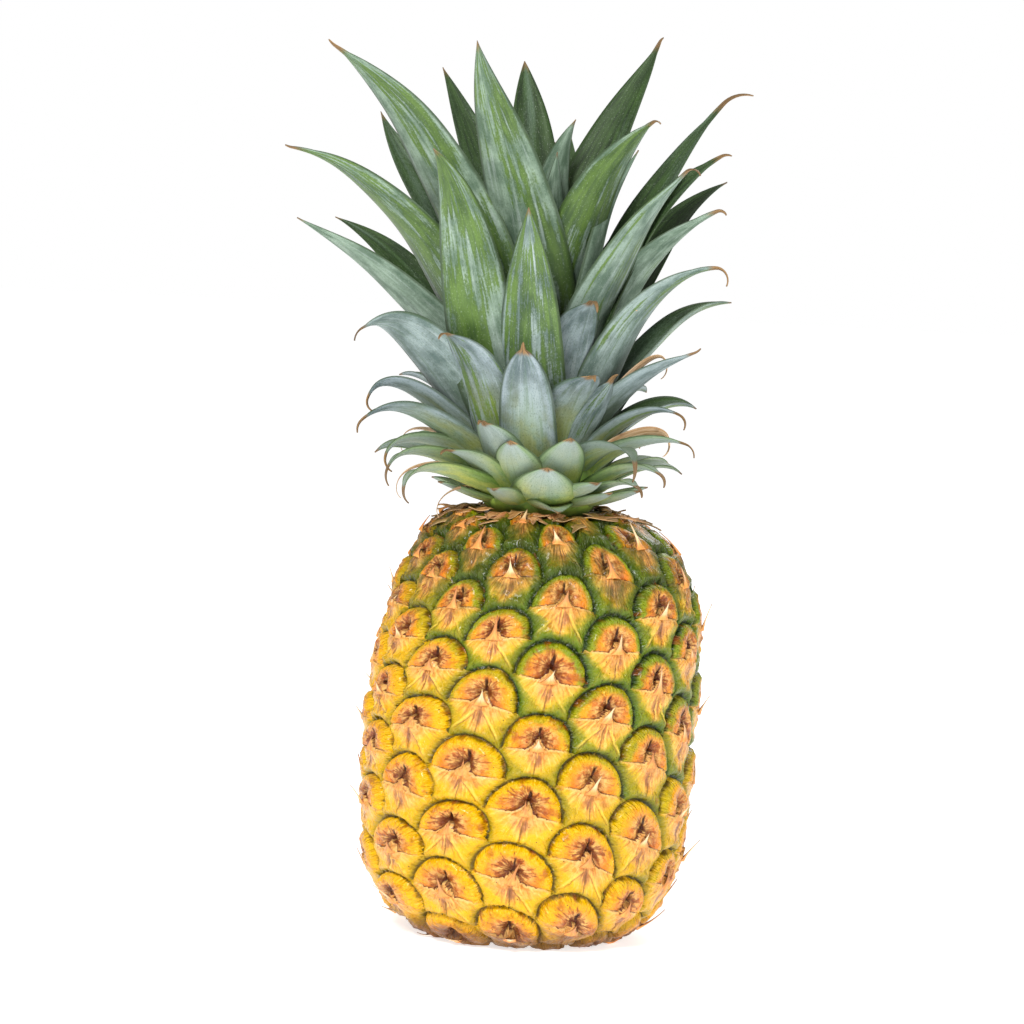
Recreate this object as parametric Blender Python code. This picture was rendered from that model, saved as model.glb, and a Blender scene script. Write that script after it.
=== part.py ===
"""Pineapple: a barrel-shaped fruit with its spiral of eyes, the leafy crown on
top of it, and the cut end of the stalk set into its base.

Frame: metres, +Z up. The origin is the middle of the flat spot that the fruit
stands on. The front of the fruit looks along -Y.
"""

import math
import random

import bmesh
import bpy
from mathutils import Vector

MM = 0.001

# ---- fruit: the barrel ----
BODY_RADIUS = 58.9 * MM          # mean radius at the widest level
WIDEST_HEIGHT = 72.0 * MM        # height of the widest level
BODY_HEIGHT = 156.0 * MM         # where the upper curve would meet the axis
FOOT_DEPTH = 1.5 * MM            # how far the lower curve runs below the flat spot
UPPER_POWERS = (2.6, 4.06)       # shape of the shoulder curve
LOWER_POWERS = (3.8, 3.2)        # shape of the lower curve
BODY_SWAY = 4.2 * MM             # the shoulder bulges a little to the right
SWAY_POWER = 4.0                 # how near the top the bulge sits
MERIDIAN_STEPS = 400

# ---- fruit: the spiral of eyes ----
RANKS = 18                       # upright rows of eyes round the fruit
ROWS_SHIFT = 8                   # eyes gained in one turn along a rising spiral
RANK_ANGLE = 2.0 * math.pi / RANKS
ROW_STEP = 24.5 * MM             # from one eye to the next below it
RANK_RISE = ROW_STEP * ROWS_SHIFT / RANKS
EYE_PITCH = 21.5 * MM            # width of one rank at the widest level
FIRST_ANGLE = math.radians(6.0)
FIRST_HEIGHT = 116.5 * MM
ROW_RANGE = range(-14, 14)       # rows tried on each rank; those off the fruit are dropped
EYE_ARCH = 10.6 * MM             # radius of the raised arch over an eye

# ---- fruit: the relief of one eye, as (across, up, height) in millimetres ----
EYE_POINTS = (
    (0.0, 3.0, 3.4),             # dry tip of the bract
    (-3.2, -1.4, 1.7),           # foot of the tip
    (3.2, -1.4, 1.7),
    (-9.2, -1.0, 0.4),           # arms of the bract
    (9.2, -1.0, 0.4),
    (-4.8, 6.8, 2.2),            # two lobes of the eye
    (4.8, 6.8, 2.2),
    (-4.6, -5.8, 0.9),           # fan of the bract
    (4.6, -5.8, 0.9),
)
ARCH_CENTRE = 2.2 * MM
ARCH_HEIGHT = 1.6 * MM
ARCH_ANGLES = (14.0, 52.0, 90.0, 128.0, 166.0)
GROOVE_HEIGHT = -2.0 * MM
GROOVE_LIFT = 3.0 * MM           # the grooves run round a point this far above the middle
# Groove points, in lattice steps (ranks to the right, rows down).
GROOVE_POINTS = ((1 / 3, -1 / 3), (-1 / 3, -2 / 3), (0.0, -0.5), (0.5, 0.0), (-0.5, -0.5))
RELIEF_FADE = 7.0 * MM           # relief dies away over this length at both discs
FADE_END = 0.25                  # no points nearer to a disc than this share of the fade
LOWEST_RELIEF = 0.6 * MM         # nothing but the flat spot comes lower than this

# ---- stalk ----
STALK_RADIUS = 11.0 * MM
STALK_DEPTH = 6.0 * MM
GAP = 0.3 * MM
ROUND_SIDES = 28

# ---- crown ----
NECK_HEIGHT = 155.5 * MM
STEM_PROFILE = ((18.0, 0.0), (22.0, 5.0), (21.0, 14.0), (16.0, 36.0), (8.0, 58.0), (2.5, 70.0))
LEAF_THICKNESS = 2.0 * MM
LEAF_THINNING = 0.45             # share of the thickness lost from root to tip
LEAF_CHANNEL = 0.20              # how far the margins rise, as a share of the half width
ROOT_DEPTH = 0.55                # blades start at this share of the stem's radius
START_HANDLE = 0.40              # reach of the curve handles, as shares of the length
END_HANDLE = 0.28
LONG_LEAF = 70                   # blades longer than this take more sections
LONG_LEAF_STEPS = 7
SHORT_LEAF_STEPS = 5
LOOK_AHEAD = 0.01                # share of the length used to find a blade's direction
SHEATH_WIDTH = 0.78              # width of a blade at its root, as a share of the full width
SHEATH_FLARE = 0.9               # how fast a blade reaches its full width
TIP_POWER = (3.0, 2.2)           # taper of the tip, plain and added by bluntness
TIP_ROOT = (1.15, -0.45)
RANDOM_SEED = 2

# Leaves of the front half: azimuth from the front towards the right (degrees),
# root height above the neck, reach of the tip from the axis, height of the tip
# above the neck, rising angle at the root and at the tip (degrees), width,
# bluntness of the tip, and turn about the midrib (degrees). Lengths in millimetres.
FRONT_LEAVES = (
    # tall leaves in the middle of the crown
    (-58, 36, 93, 165, 75, 28, 28, 0.0, -28),
    (-24, 38, 72, 169, 104, 66, 28, 0.0, -13),
    (-36, 22, 73, 131, 42, 37, 27, 0.0, -35),
    (-10, 16, 50, 112, 60, 74, 25, 0.1, 0),
    (202, 46, 34, 165, 84, 78, 25, 0.4, 0),
    (125, 44, 45, 174, 110, 64, 25, 0.0, -25),
    (60, 54, 8, 144, 100, 60, 20, 0.0, 40),
    (-112, 48, 46, 161, 80, 64, 22, 0.0, 40),
    (-118, 38, 74, 144, 80, 65, 22, 0.0, 34),
    (40, 30, 53, 144, 109, 26, 27, 0.0, 8),
    (76, 36, 31, 134, 82, 62, 22, 0.0, 0),
    (96, 38, 71, 155, 79, 17, 22, -0.2, -32),
    # arching leaves half way up
    (-62, 24, 105, 129, 69, 8, 26, -0.2, -19),
    (-82, 22, 93, 104, 67, 28, 24, -0.2, -36),
    (-115, 26, 89, 104, 57, 19, 22, -0.2, 34),
    (95, 30, 61, 133, 88, 32, 22, -0.1, -42),
    (54, 20, 58, 127, 93, 44, 25, -0.1, 15),
    (84, 22, 60, 113, 87, 27, 21, -0.2, 46),
    (64, 16, 66, 93, 77, 5, 21, -0.3, 26),
    (-58, 14, 78, 66, 50, -30, 27, 0.3, -23),
    (-38, 10, 58, 66, 48, 16, 23, 0.5, -8),
    (-10, 8, 48, 62, 42, 66, 21, 0.8, 0),
    (24, 12, 37, 79, 90, 30, 24, 0.6, 0),
    (22, 7, 44, 53, 84, 22, 23, 0.8, 0),
    (42, 12, 36, 51, 71, 60, 18, 0.5, 7),
    (70, 12, 57, 62, 81, 25, 19, 0.0, 20),
    # short leaves round the neck
    (-74, 9, 66, 40, 55, -73, 17, 0.1, -20),
    (-64, 7, 72, 33, 49, -41, 18, 0.1, -19),
    (-72, 5, 59, 19, 62, -84, 15, 0.1, -20),
    (-56, 4, 66, 16, 36, -70, 15, 0.1, -15),
    (-48, 3.4, 65, 9, 28, -93, 13, 0.1, -20),
    (-27, 5, 47, 35, 37, 35, 22, 0.6, 11),
    (-42, 4, 50, 24, 32, 10, 18, 0.5, 0),
    (0, 3.4, 41, 17, 4, 60, 21, 0.9, 0),
    (-11, 4, 42, 24, 28, 56, 18, 0.8, 0),
    (10, 4, 43, 25, 30, 54, 18, 0.8, 0),
    (72, 7, 52, 39, 73, -27, 16, 0.1, 14),
    (66, 5, 57, 29, 70, -15, 15, 0.1, 15),
    (38, 6, 54, 22, 84, -78, 17, 0.2, 9),
    (56, 4, 52, 18, 34, -30, 14, 0.2, 0),
    (50, 3.2, 46, 13, 20, -30, 13, 0.3, 0),
    (28, 3.2, 44, 15, 14, 26, 16, 0.6, 0),
)

# Tiers of leaves on the back half: how many, first and last azimuth, and the
# same measures as above but for the turn.
BACK_TIERS = (
    (3, 150, 232, 42, 46, 154, 76, 64, 26, 0.0),
    (5, 112, 240, 32, 76, 122, 62, 34, 25, 0.0),
    (6, 100, 252, 20, 70, 84, 54, 8, 24, 0.2),
    (7, 94, 268, 11, 60, 46, 46, -18, 21, 0.4),
    (8, 86, 282, 5, 58, 20, 28, -34, 16, 0.3),
)
# How much the leaves of the back half differ from their tier's measures.
PLACE_SPREAD = 0.2               # share of the spacing
ROOT_SPREAD = 2.0
REACH_SPREAD = 0.1               # share of the reach
TIP_SPREAD = 0.1                 # share of the tip's height over TIP_LEVEL
TIP_LEVEL = -20.0
ROOT_ANGLE_SPREAD = 4.0
TIP_ANGLE_SPREAD = 10.0
WIDTH_SPREAD = 0.08              # share of the width
TURN_SPREAD = 18.0
SWING_SPREAD = 3.0               # tips stray sideways by up to this
COLLAR_LEAVES = 11               # small scales all round, close over the neck
COLLAR_LEAF = (3.2, 40, 11, 6, 24, 15, 0.6, 0)
HEART_LEAVES = 4                 # young leaves upright round the axis
HEART_LEAF = (58, 10, 132, 86, 82, 14, 0.0, 0)
HEART_STEP = (3, 2, -9)          # change of root, reach and tip from one to the next
FIRST_HEART_AZIMUTH = 20.0
GOLDEN_ANGLE = 137.508


# ---------------------------------------------------------------- scene and materials

def clear_scene():
    """Remove every object that the new scene holds."""
    for obj in list(bpy.data.objects):
        bpy.data.objects.remove(obj, do_unlink=True)


def make_material(name, colour, roughness):
    material = bpy.data.materials.new(name)
    material.use_nodes = True
    shader = material.node_tree.nodes["Principled BSDF"]
    shader.inputs["Base Color"].default_value = (*colour, 1.0)
    shader.inputs["Roughness"].default_value = roughness
    shader.inputs["Metallic"].default_value = 0.0
    material.diffuse_color = (*colour, 1.0)
    return material


def link_object(name, mesh, material=None):
    obj = bpy.data.objects.new(name, mesh)
    bpy.context.scene.collection.objects.link(obj)
    if material:
        mesh.materials.append(material)
    return obj


def bake_modifiers(obj):
    """Replace an object's mesh with its evaluated mesh."""
    graph = bpy.context.evaluated_depsgraph_get()
    baked = bpy.data.meshes.new_from_object(obj.evaluated_get(graph))
    obj.modifiers.clear()
    old = obj.data
    obj.data = baked
    bpy.data.meshes.remove(old)


# ---------------------------------------------------------------- fruit

def barrel_radius(z):
    """Mean radius of the fruit at height z."""
    if z > WIDEST_HEIGHT:
        share = (z - WIDEST_HEIGHT) / (BODY_HEIGHT - WIDEST_HEIGHT)
        power, root = UPPER_POWERS
    else:
        share = (WIDEST_HEIGHT - z) / (WIDEST_HEIGHT + FOOT_DEPTH)
        power, root = LOWER_POWERS
    return BODY_RADIUS * max(0.0, 1.0 - share ** power) ** (1.0 / root)


def make_meridian():
    """Points (arc length, radius, height, swing) from the flat spot to the top disc.

    The arc length is set so that it equals the height at the widest level. The
    swing adds up the same length in local radii, from zero at the widest level.
    """
    points = []
    for step in range(MERIDIAN_STEPS + 1):
        angle = math.pi * step / MERIDIAN_STEPS
        z = NECK_HEIGHT * (0.5 - 0.5 * math.cos(angle))
        points.append([0.0, barrel_radius(z), z, 0.0])
    for last, this in zip(points, points[1:]):
        run = math.hypot(this[1] - last[1], this[2] - last[2])
        this[0] = last[0] + run
        this[3] = last[3] + 2.0 * run / (this[1] + last[1])
    at_widest = min(points, key=lambda point: abs(point[2] - WIDEST_HEIGHT))
    shift = at_widest[2] - at_widest[0]
    swing = at_widest[3]
    for point in points:
        point[0] += shift
        point[3] -= swing
    return points


def on_meridian(meridian, arc):
    """Radius, height, swing and outward normal (radial, upward) at an arc length."""
    low = 0
    high = len(meridian) - 1
    while high - low > 1:
        middle = (low + high) // 2
        if meridian[middle][0] > arc:
            high = middle
        else:
            low = middle
    first = meridian[low]
    second = meridian[high]
    share = (arc - first[0]) / (second[0] - first[0])
    radius = first[1] + share * (second[1] - first[1])
    height = first[2] + share * (second[2] - first[2])
    swing = first[3] + share * (second[3] - first[3])
    run = second[1] - first[1]
    rise = second[2] - first[2]
    length = math.hypot(run, rise)
    return radius, height, swing, rise / length, -run / length


def lattice_place(rank, row):
    """Azimuth and arc length of a point of the eye lattice.

    rank counts to the right and row counts down. The two sine and cosine terms
    bend the lattice a little, as on a grown fruit, and leave it closed.
    """
    around = rank * RANK_ANGLE
    down = row - rank * ROWS_SHIFT / RANKS
    drift = math.radians(5.0 - 3.0 * math.cos(around) - 3.0 * math.sin(around))
    angle = around + FIRST_ANGLE + math.radians(3.0) * math.sin(around) - drift * down
    arc = FIRST_HEIGHT - ROW_STEP * down
    arc += (10.0 * math.cos(around) + (3.0 - 3.5 * down) * math.sin(around)) * MM
    return angle, arc


def eye_offset(rank, row, across, up):
    """Lattice coordinates of a point given in metres from an eye's middle."""
    ranks = across / EYE_PITCH
    rows = (RANK_RISE * ranks - up) / ROW_STEP
    return rank + ranks, row + rows


def fruit_points(meridian):
    """Azimuth, arc length and relief height of every point on the fruit."""
    lowest = meridian[0][0]
    highest = meridian[-1][0]
    samples = []
    for rank in range(RANKS):
        for row in ROW_RANGE:
            for across, up, height in EYE_POINTS:
                spot = eye_offset(rank, row, across * MM, up * MM)
                samples.append((*spot, height * MM))
            for degrees in ARCH_ANGLES:
                across = EYE_ARCH * math.cos(math.radians(degrees))
                up = ARCH_CENTRE + EYE_ARCH * math.sin(math.radians(degrees))
                samples.append((*eye_offset(rank, row, across, up), ARCH_HEIGHT))
            for ranks, rows in GROOVE_POINTS:
                groove_row = row + rows - GROOVE_LIFT / ROW_STEP
                samples.append((rank + ranks, groove_row, GROOVE_HEIGHT))
    points = []
    for rank, row, height in samples:
        angle, arc = lattice_place(rank, row)
        margin = min(arc - lowest, highest - arc)
        if margin > FADE_END * RELIEF_FADE:
            points.append((angle, arc, height * min(1.0, margin / RELIEF_FADE)))
    return points


def sphere_direction(angle, swing):
    """Direction on a round ball that stands for a point on the fruit.

    swing is the meridian's length counted in local radii from the widest level.
    It turns the barrel into a ball without stretching small shapes.
    """
    polar = 2.0 * math.atan(math.exp(swing))
    return Vector((math.sin(polar) * math.sin(angle),
                   -math.sin(polar) * math.cos(angle),
                   -math.cos(polar)))


def sway(height):
    return BODY_SWAY * math.sin(math.pi * (height / NECK_HEIGHT) ** SWAY_POWER)


def make_fruit(material):
    """The fruit: points spread on a ball, skinned, then moved to their places."""
    meridian = make_meridian()
    places = []
    for angle, arc, relief in fruit_points(meridian):
        radius, height, swing, out, up = on_meridian(meridian, arc)
        radius += relief * out
        height = max(height + relief * up, LOWEST_RELIEF)
        spot = Vector((radius * math.sin(angle) + sway(height), -radius * math.cos(angle), height))
        places.append((sphere_direction(angle, swing), spot))
    for _, radius, height, swing in (meridian[0], meridian[-1]):
        for side in range(ROUND_SIDES):
            angle = 2.0 * math.pi * side / ROUND_SIDES
            spot = Vector((radius * math.sin(angle), -radius * math.cos(angle), height))
            places.append((sphere_direction(angle, swing), spot))
    places.append((Vector((0, 0, -1)), Vector((0, 0, 0))))
    places.append((Vector((0, 0, 1)), Vector((0, 0, NECK_HEIGHT))))

    shape = bmesh.new()
    home = {}
    for direction, spot in places:
        vertex = shape.verts.new(direction)
        home[vertex] = spot
    bmesh.ops.convex_hull(shape, input=list(shape.verts), use_existing_faces=False)
    bmesh.ops.triangulate(shape, faces=list(shape.faces))
    for vertex in list(shape.verts):
        if not vertex.link_faces:
            shape.verts.remove(vertex)
    for vertex in shape.verts:
        vertex.co = home[vertex]
    bmesh.ops.recalc_face_normals(shape, faces=list(shape.faces))
    mesh = bpy.data.meshes.new("fruit")
    shape.to_mesh(mesh)
    shape.free()
    mesh.shade_smooth()
    fruit = link_object("fruit", mesh, material)

    socket = make_disc_prism("stalk_socket", STALK_RADIUS + GAP, -STALK_DEPTH, STALK_DEPTH)
    socket.hide_render = True
    socket.display_type = "WIRE"
    cut = fruit.modifiers.new("socket", "BOOLEAN")
    cut.operation = "DIFFERENCE"
    cut.object = socket
    cut.solver = "EXACT"
    return fruit


# ---------------------------------------------------------------- stalk

def make_disc_prism(name, radius, bottom, top, material=None):
    """A plain round prism between two heights."""
    shape = bmesh.new()
    ring = []
    for side in range(ROUND_SIDES):
        angle = 2.0 * math.pi * side / ROUND_SIDES
        ring.append(shape.verts.new((radius * math.cos(angle), radius * math.sin(angle), bottom)))
    foot = shape.faces.new(ring)
    grown = bmesh.ops.extrude_face_region(shape, geom=[foot])
    top_verts = [item for item in grown["geom"] if isinstance(item, bmesh.types.BMVert)]
    bmesh.ops.translate(shape, verts=top_verts, vec=(0.0, 0.0, top - bottom))
    bmesh.ops.recalc_face_normals(shape, faces=list(shape.faces))
    mesh = bpy.data.meshes.new(name)
    shape.to_mesh(mesh)
    shape.free()
    return link_object(name, mesh, material)


# ---------------------------------------------------------------- crown

def bezier(start, start_handle, end_handle, end, share):
    rest = 1.0 - share
    return (start * rest ** 3 + start_handle * (3 * share * rest ** 2)
            + end_handle * (3 * share ** 2 * rest) + end * share ** 3)


def stem_radius(height):
    """Radius of the crown's stem at a height above the neck, in millimetres."""
    for (low_radius, low), (high_radius, high) in zip(STEM_PROFILE, STEM_PROFILE[1:]):
        if height <= high:
            return low_radius + (high_radius - low_radius) * (height - low) / (high - low)
    return STEM_PROFILE[-1][0]


def leaf_width(share, bluntness):
    """Width of a blade along its length, as a share of its full width."""
    sheath = min(1.0, SHEATH_WIDTH + SHEATH_FLARE * share)
    power = TIP_POWER[0] + TIP_POWER[1] * bluntness
    root = TIP_ROOT[0] + TIP_ROOT[1] * bluntness
    return sheath * (1.0 - share ** power) ** root


def leaf_curve(leaf, swing):
    """Control points of a blade's midrib, and the level direction across it."""
    azimuth, root, reach, tip, root_angle, tip_angle = leaf[:6]
    azimuth = math.radians(azimuth)
    outward = Vector((math.sin(azimuth), -math.cos(azimuth), 0.0))
    sideways = Vector((math.cos(azimuth), math.sin(azimuth), 0.0))
    up = Vector((0.0, 0.0, 1.0))
    start = outward * (ROOT_DEPTH * stem_radius(root)) + up * root
    end = outward * reach + up * tip + sideways * swing
    length = (end - start).length
    root_angle = math.radians(root_angle)
    tip_angle = math.radians(tip_angle)
    leaving = outward * math.cos(root_angle) + up * math.sin(root_angle)
    arriving = outward * math.cos(tip_angle) + up * math.sin(tip_angle)
    start_handle = start + leaving * (START_HANDLE * length)
    end_handle = end - arriving * (END_HANDLE * length)
    return (start, start_handle, end_handle, end), sideways


def make_leaf(name, leaf, swing=0.0):
    """One channelled blade: a chevron section swept along an arching midrib."""
    width, bluntness, turn = leaf[6:]
    curve, sideways = leaf_curve(leaf, swing)
    turn = math.radians(turn)
    length = (curve[-1] - curve[0]).length
    steps = LONG_LEAF_STEPS if length > LONG_LEAF else SHORT_LEAF_STEPS
    lift = Vector((0.0, 0.0, NECK_HEIGHT))

    shape = bmesh.new()
    rings = []
    for step in range(steps):
        share = step / steps
        middle = bezier(*curve, share)
        along = (bezier(*curve, share + LOOK_AHEAD) - middle).normalized()
        level_inner = along.cross(sideways).normalized()
        side = sideways * math.cos(turn) - level_inner * math.sin(turn)
        inner = along.cross(side).normalized()
        half = 0.5 * width * leaf_width(share, bluntness)
        rise = LEAF_CHANNEL * half
        thick = LEAF_THICKNESS / MM * (1.0 - LEAF_THINNING * share)
        ring = (middle - side * half + inner * rise, middle,
                middle + side * half + inner * rise, middle - inner * thick)
        rings.append([shape.verts.new(point * MM + lift) for point in ring])
    point = shape.verts.new(curve[-1] * MM + lift)
    left, centre, right, keel = rings[0]
    shape.faces.new((left, centre, keel))
    shape.faces.new((centre, right, keel))
    for low, high in zip(rings, rings[1:]):
        for here, there in ((0, 1), (2, 1), (0, 3), (2, 3)):
            shape.faces.new((low[here], low[there], high[here]))
            shape.faces.new((low[there], high[there], high[here]))
    for here, there in ((0, 1), (1, 2), (2, 3), (3, 0)):
        shape.faces.new((rings[-1][here], rings[-1][there], point))
    bmesh.ops.recalc_face_normals(shape, faces=list(shape.faces))
    if shape.calc_volume(signed=True) < 0.0:
        bmesh.ops.reverse_faces(shape, faces=list(shape.faces))
    mesh = bpy.data.meshes.new(name)
    shape.to_mesh(mesh)
    shape.free()
    return bpy.data.objects.new(name, mesh)


def make_stem(material):
    """The crown's short stem, turned about the axis."""
    shape = bmesh.new()
    rings = []
    for radius, height in STEM_PROFILE:
        ring = []
        for side in range(ROUND_SIDES):
            angle = 2.0 * math.pi * side / ROUND_SIDES
            lift = NECK_HEIGHT + GAP + height * MM
            spot = (radius * MM * math.cos(angle), radius * MM * math.sin(angle), lift)
            ring.append(shape.verts.new(spot))
        rings.append(ring)
    for low, high in zip(rings, rings[1:]):
        for side in range(ROUND_SIDES):
            after = (side + 1) % ROUND_SIDES
            shape.faces.new((low[side], low[after], high[after], high[side]))
    shape.faces.new(list(reversed(rings[0])))
    shape.faces.new(rings[-1])
    bmesh.ops.recalc_face_normals(shape, faces=list(shape.faces))
    mesh = bpy.data.meshes.new("crown")
    shape.to_mesh(mesh)
    shape.free()
    return link_object("crown", mesh, material)


def back_leaves():
    """Leaves of the back half, spread over their tiers with a seeded variation."""
    draw = random.Random(RANDOM_SEED)
    leaves = []

    def spread(amount):
        return draw.uniform(-amount, amount)

    for tier in BACK_TIERS:
        count, first, last, root, reach, tip, root_angle, tip_angle, width, bluntness = tier
        for place in range(count):
            azimuth = first + (last - first) * (place + 0.5 + spread(PLACE_SPREAD)) / count
            leaves.append((
                azimuth,
                root + spread(ROOT_SPREAD),
                reach * (1.0 + spread(REACH_SPREAD)),
                tip + spread(TIP_SPREAD) * (tip - TIP_LEVEL),
                root_angle + spread(ROOT_ANGLE_SPREAD),
                tip_angle + spread(TIP_ANGLE_SPREAD),
                width * (1.0 + spread(WIDTH_SPREAD)),
                bluntness,
                spread(TURN_SPREAD),
            ))
    for place in range(HEART_LEAVES):
        azimuth = FIRST_HEART_AZIMUTH + GOLDEN_ANGLE * place
        low = [value + step * place for value, step in zip(HEART_LEAF, HEART_STEP)]
        leaves.append((azimuth, *low, *HEART_LEAF[len(HEART_STEP):]))
    for place in range(COLLAR_LEAVES):
        azimuth = 360.0 * (place + spread(PLACE_SPREAD)) / COLLAR_LEAVES
        leaves.append((azimuth, *COLLAR_LEAF))
    return leaves


def keep_largest_body(mesh):
    """Drop loose scraps and the walls of sealed hollows."""
    shape = bmesh.new()
    shape.from_mesh(mesh)
    seen = set()
    bodies = []
    for first in shape.faces:
        if first in seen:
            continue
        body = [first]
        seen.add(first)
        for face in body:
            for edge in face.edges:
                for other in edge.link_faces:
                    if other not in seen:
                        seen.add(other)
                        body.append(other)
        bodies.append(body)
    bodies.sort(key=len)
    for body in bodies[:-1]:
        bmesh.ops.delete(shape, geom=body, context="FACES")
    bmesh.ops.triangulate(shape, faces=list(shape.faces))
    shape.to_mesh(mesh)
    shape.free()


def make_crown(material):
    """The leafy crown: every blade fused to the stem in one union."""
    crown = make_stem(material)
    blades = bpy.data.collections.new("blades")
    bpy.context.scene.collection.children.link(blades)
    draw = random.Random(RANDOM_SEED)
    blade_list = [make_leaf(f"front_blade_{number:02d}", leaf)
                  for number, leaf in enumerate(FRONT_LEAVES)]
    for number, leaf in enumerate(back_leaves()):
        swing = draw.uniform(-SWING_SPREAD, SWING_SPREAD)
        blade_list.append(make_leaf(f"back_blade_{number:02d}", leaf, swing))
    for blade in blade_list:
        blades.objects.link(blade)
    union = crown.modifiers.new("blades", "BOOLEAN")
    union.operation = "UNION"
    union.operand_type = "COLLECTION"
    union.collection = blades
    union.solver = "MANIFOLD"
    bake_modifiers(crown)
    for blade in list(blades.objects):
        bpy.data.objects.remove(blade, do_unlink=True)
    bpy.data.collections.remove(blades)
    keep_largest_body(crown.data)
    return crown


def main():
    clear_scene()
    rind = make_material("rind", (0.78, 0.47, 0.06), 0.45)
    foliage = make_material("foliage", (0.16, 0.28, 0.14), 0.5)
    cut_pith = make_material("cut_pith", (0.45, 0.33, 0.16), 0.8)
    make_fruit(rind)
    make_crown(foliage)
    make_disc_prism("stalk", STALK_RADIUS, 0.0, STALK_DEPTH - GAP, cut_pith)


main()
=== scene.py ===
"""Looks of the pineapple: fine skin with its eyes, bract tips, leaves and cut stalk.

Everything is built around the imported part, in metres, with +Z up and the front
of the fruit towards -Y. The fruit and the leaves follow the same rules as the
solids that they stand for, with a finer surface.
"""

import math
import random

import bmesh
import bpy
import numpy as np
from mathutils import Matrix, Vector


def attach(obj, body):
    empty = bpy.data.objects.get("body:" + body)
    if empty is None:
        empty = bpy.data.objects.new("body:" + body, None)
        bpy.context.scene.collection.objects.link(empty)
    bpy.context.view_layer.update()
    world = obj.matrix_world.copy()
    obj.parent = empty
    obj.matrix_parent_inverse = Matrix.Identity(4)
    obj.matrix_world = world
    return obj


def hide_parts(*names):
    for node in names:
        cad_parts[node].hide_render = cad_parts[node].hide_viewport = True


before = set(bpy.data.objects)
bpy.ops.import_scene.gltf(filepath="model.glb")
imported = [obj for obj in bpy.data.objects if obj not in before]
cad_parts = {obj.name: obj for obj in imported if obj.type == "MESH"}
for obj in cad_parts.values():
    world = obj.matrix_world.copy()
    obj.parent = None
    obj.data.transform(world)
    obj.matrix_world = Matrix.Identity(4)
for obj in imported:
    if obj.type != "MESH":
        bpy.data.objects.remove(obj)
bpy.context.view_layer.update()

MM = 0.001

# ---- fruit: the barrel, as in the solid ----
BODY_RADIUS = 58.9 * MM
WIDEST_HEIGHT = 72.0 * MM
BODY_HEIGHT = 156.0 * MM
FOOT_DEPTH = 1.5 * MM
UPPER_POWERS = (2.6, 4.06)
LOWER_POWERS = (3.8, 3.2)
BODY_SWAY = 4.2 * MM
SWAY_POWER = 4.0
MERIDIAN_STEPS = 400
NECK_HEIGHT = 155.5 * MM

# ---- fruit: the spiral of eyes, as in the solid ----
RANKS = 18
ROWS_SHIFT = 8
RANK_ANGLE = 2.0 * math.pi / RANKS
ROW_STEP = 24.5 * MM
EYE_PITCH = 21.5 * MM
FIRST_ANGLE = math.radians(6.0)
FIRST_HEIGHT = 116.5 * MM
ROW_RANGE = range(-14, 14)

# ---- one eye, in millimetres: x to the right, y up, from the middle of its bract ----
RANK_SPAN = EYE_PITCH / MM       # the pattern repeats along (RANK_SPAN, ROW_SPAN / 2) and (0, ROW_SPAN)
ROW_SPAN = ROW_STEP / MM
ARCH_WIDTH = 12.25               # half width of the dome over the bract
ARCH_MIDDLE = 0.7
ARCH_RISE = 12.1
ARM_REACH = 15.0                 # half length of the bract's upper edge
ARM_DROOP = 1.2
TIP_WIDTH = 4.0                  # half width of the foot of the bract's tip
TIP_RISE = 4.6
CLEFT_TOP = 9.2
NECK_BRACTS = 46                 # papery bracts round the crown's foot
GROOVE_DEPTH = -1.9
FILL_STEP = 1.28                 # spacing of the skin's points away from the edges
TRIANGLE_HEIGHT = 0.866          # of an even triangle, as a share of its side
DOME_SIZE = 12.2                 # turns a share of the way to the arch into millimetres
SKIN_FADE = 7.0 * MM             # relief dies away over this length at both discs
FLOOR_EASE = 0.6 * MM            # points lower than this are eased up, off the floor
EYE_SEED = 11
# The foot's rings inside the skin's last eyes, as shares of the flat spot's radius.
FOOT_RINGS = (1.0, 0.95, 0.9, 0.85, 0.8, 0.75, 0.7, 0.65, 0.6, 0.55, 0.5, 0.46)
FOOT_RIPPLE = 0.35 * MM
TOP_RINGS = 6                    # on the disc under the crown
CAP_SIDES = 96                   # points in a ring of the discs; in the socket a third of them
TIP_SEED = 5
TIP_STEPS = 13                   # points along a bract's dry tip
LONG_TIP_SHARE = 0.4
RAISED_FROM_PALE = 0.66          # tips paler than this stand further off the skin
RAISED_LIFT = 3.4
NECK_SEED = 21
NECK_STEPS = 12                  # points along a papery bract of the neck
RIND_TINT = (1.0, 0.97, 0.62, 1.0)
STALK_RADIUS = 11.0 * MM
STALK_DEPTH = 6.0 * MM
GAP = 0.3 * MM
CUT_FACE = (                     # shares of the stalk's radius and heights in millimetres
    (0.0, 0.25), (0.2, 0.22), (0.4, 0.18), (0.6, 0.12),
    (0.75, 0.05), (0.88, 0.02), (0.96, 0.0), (1.0, 0.25),
)

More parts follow.
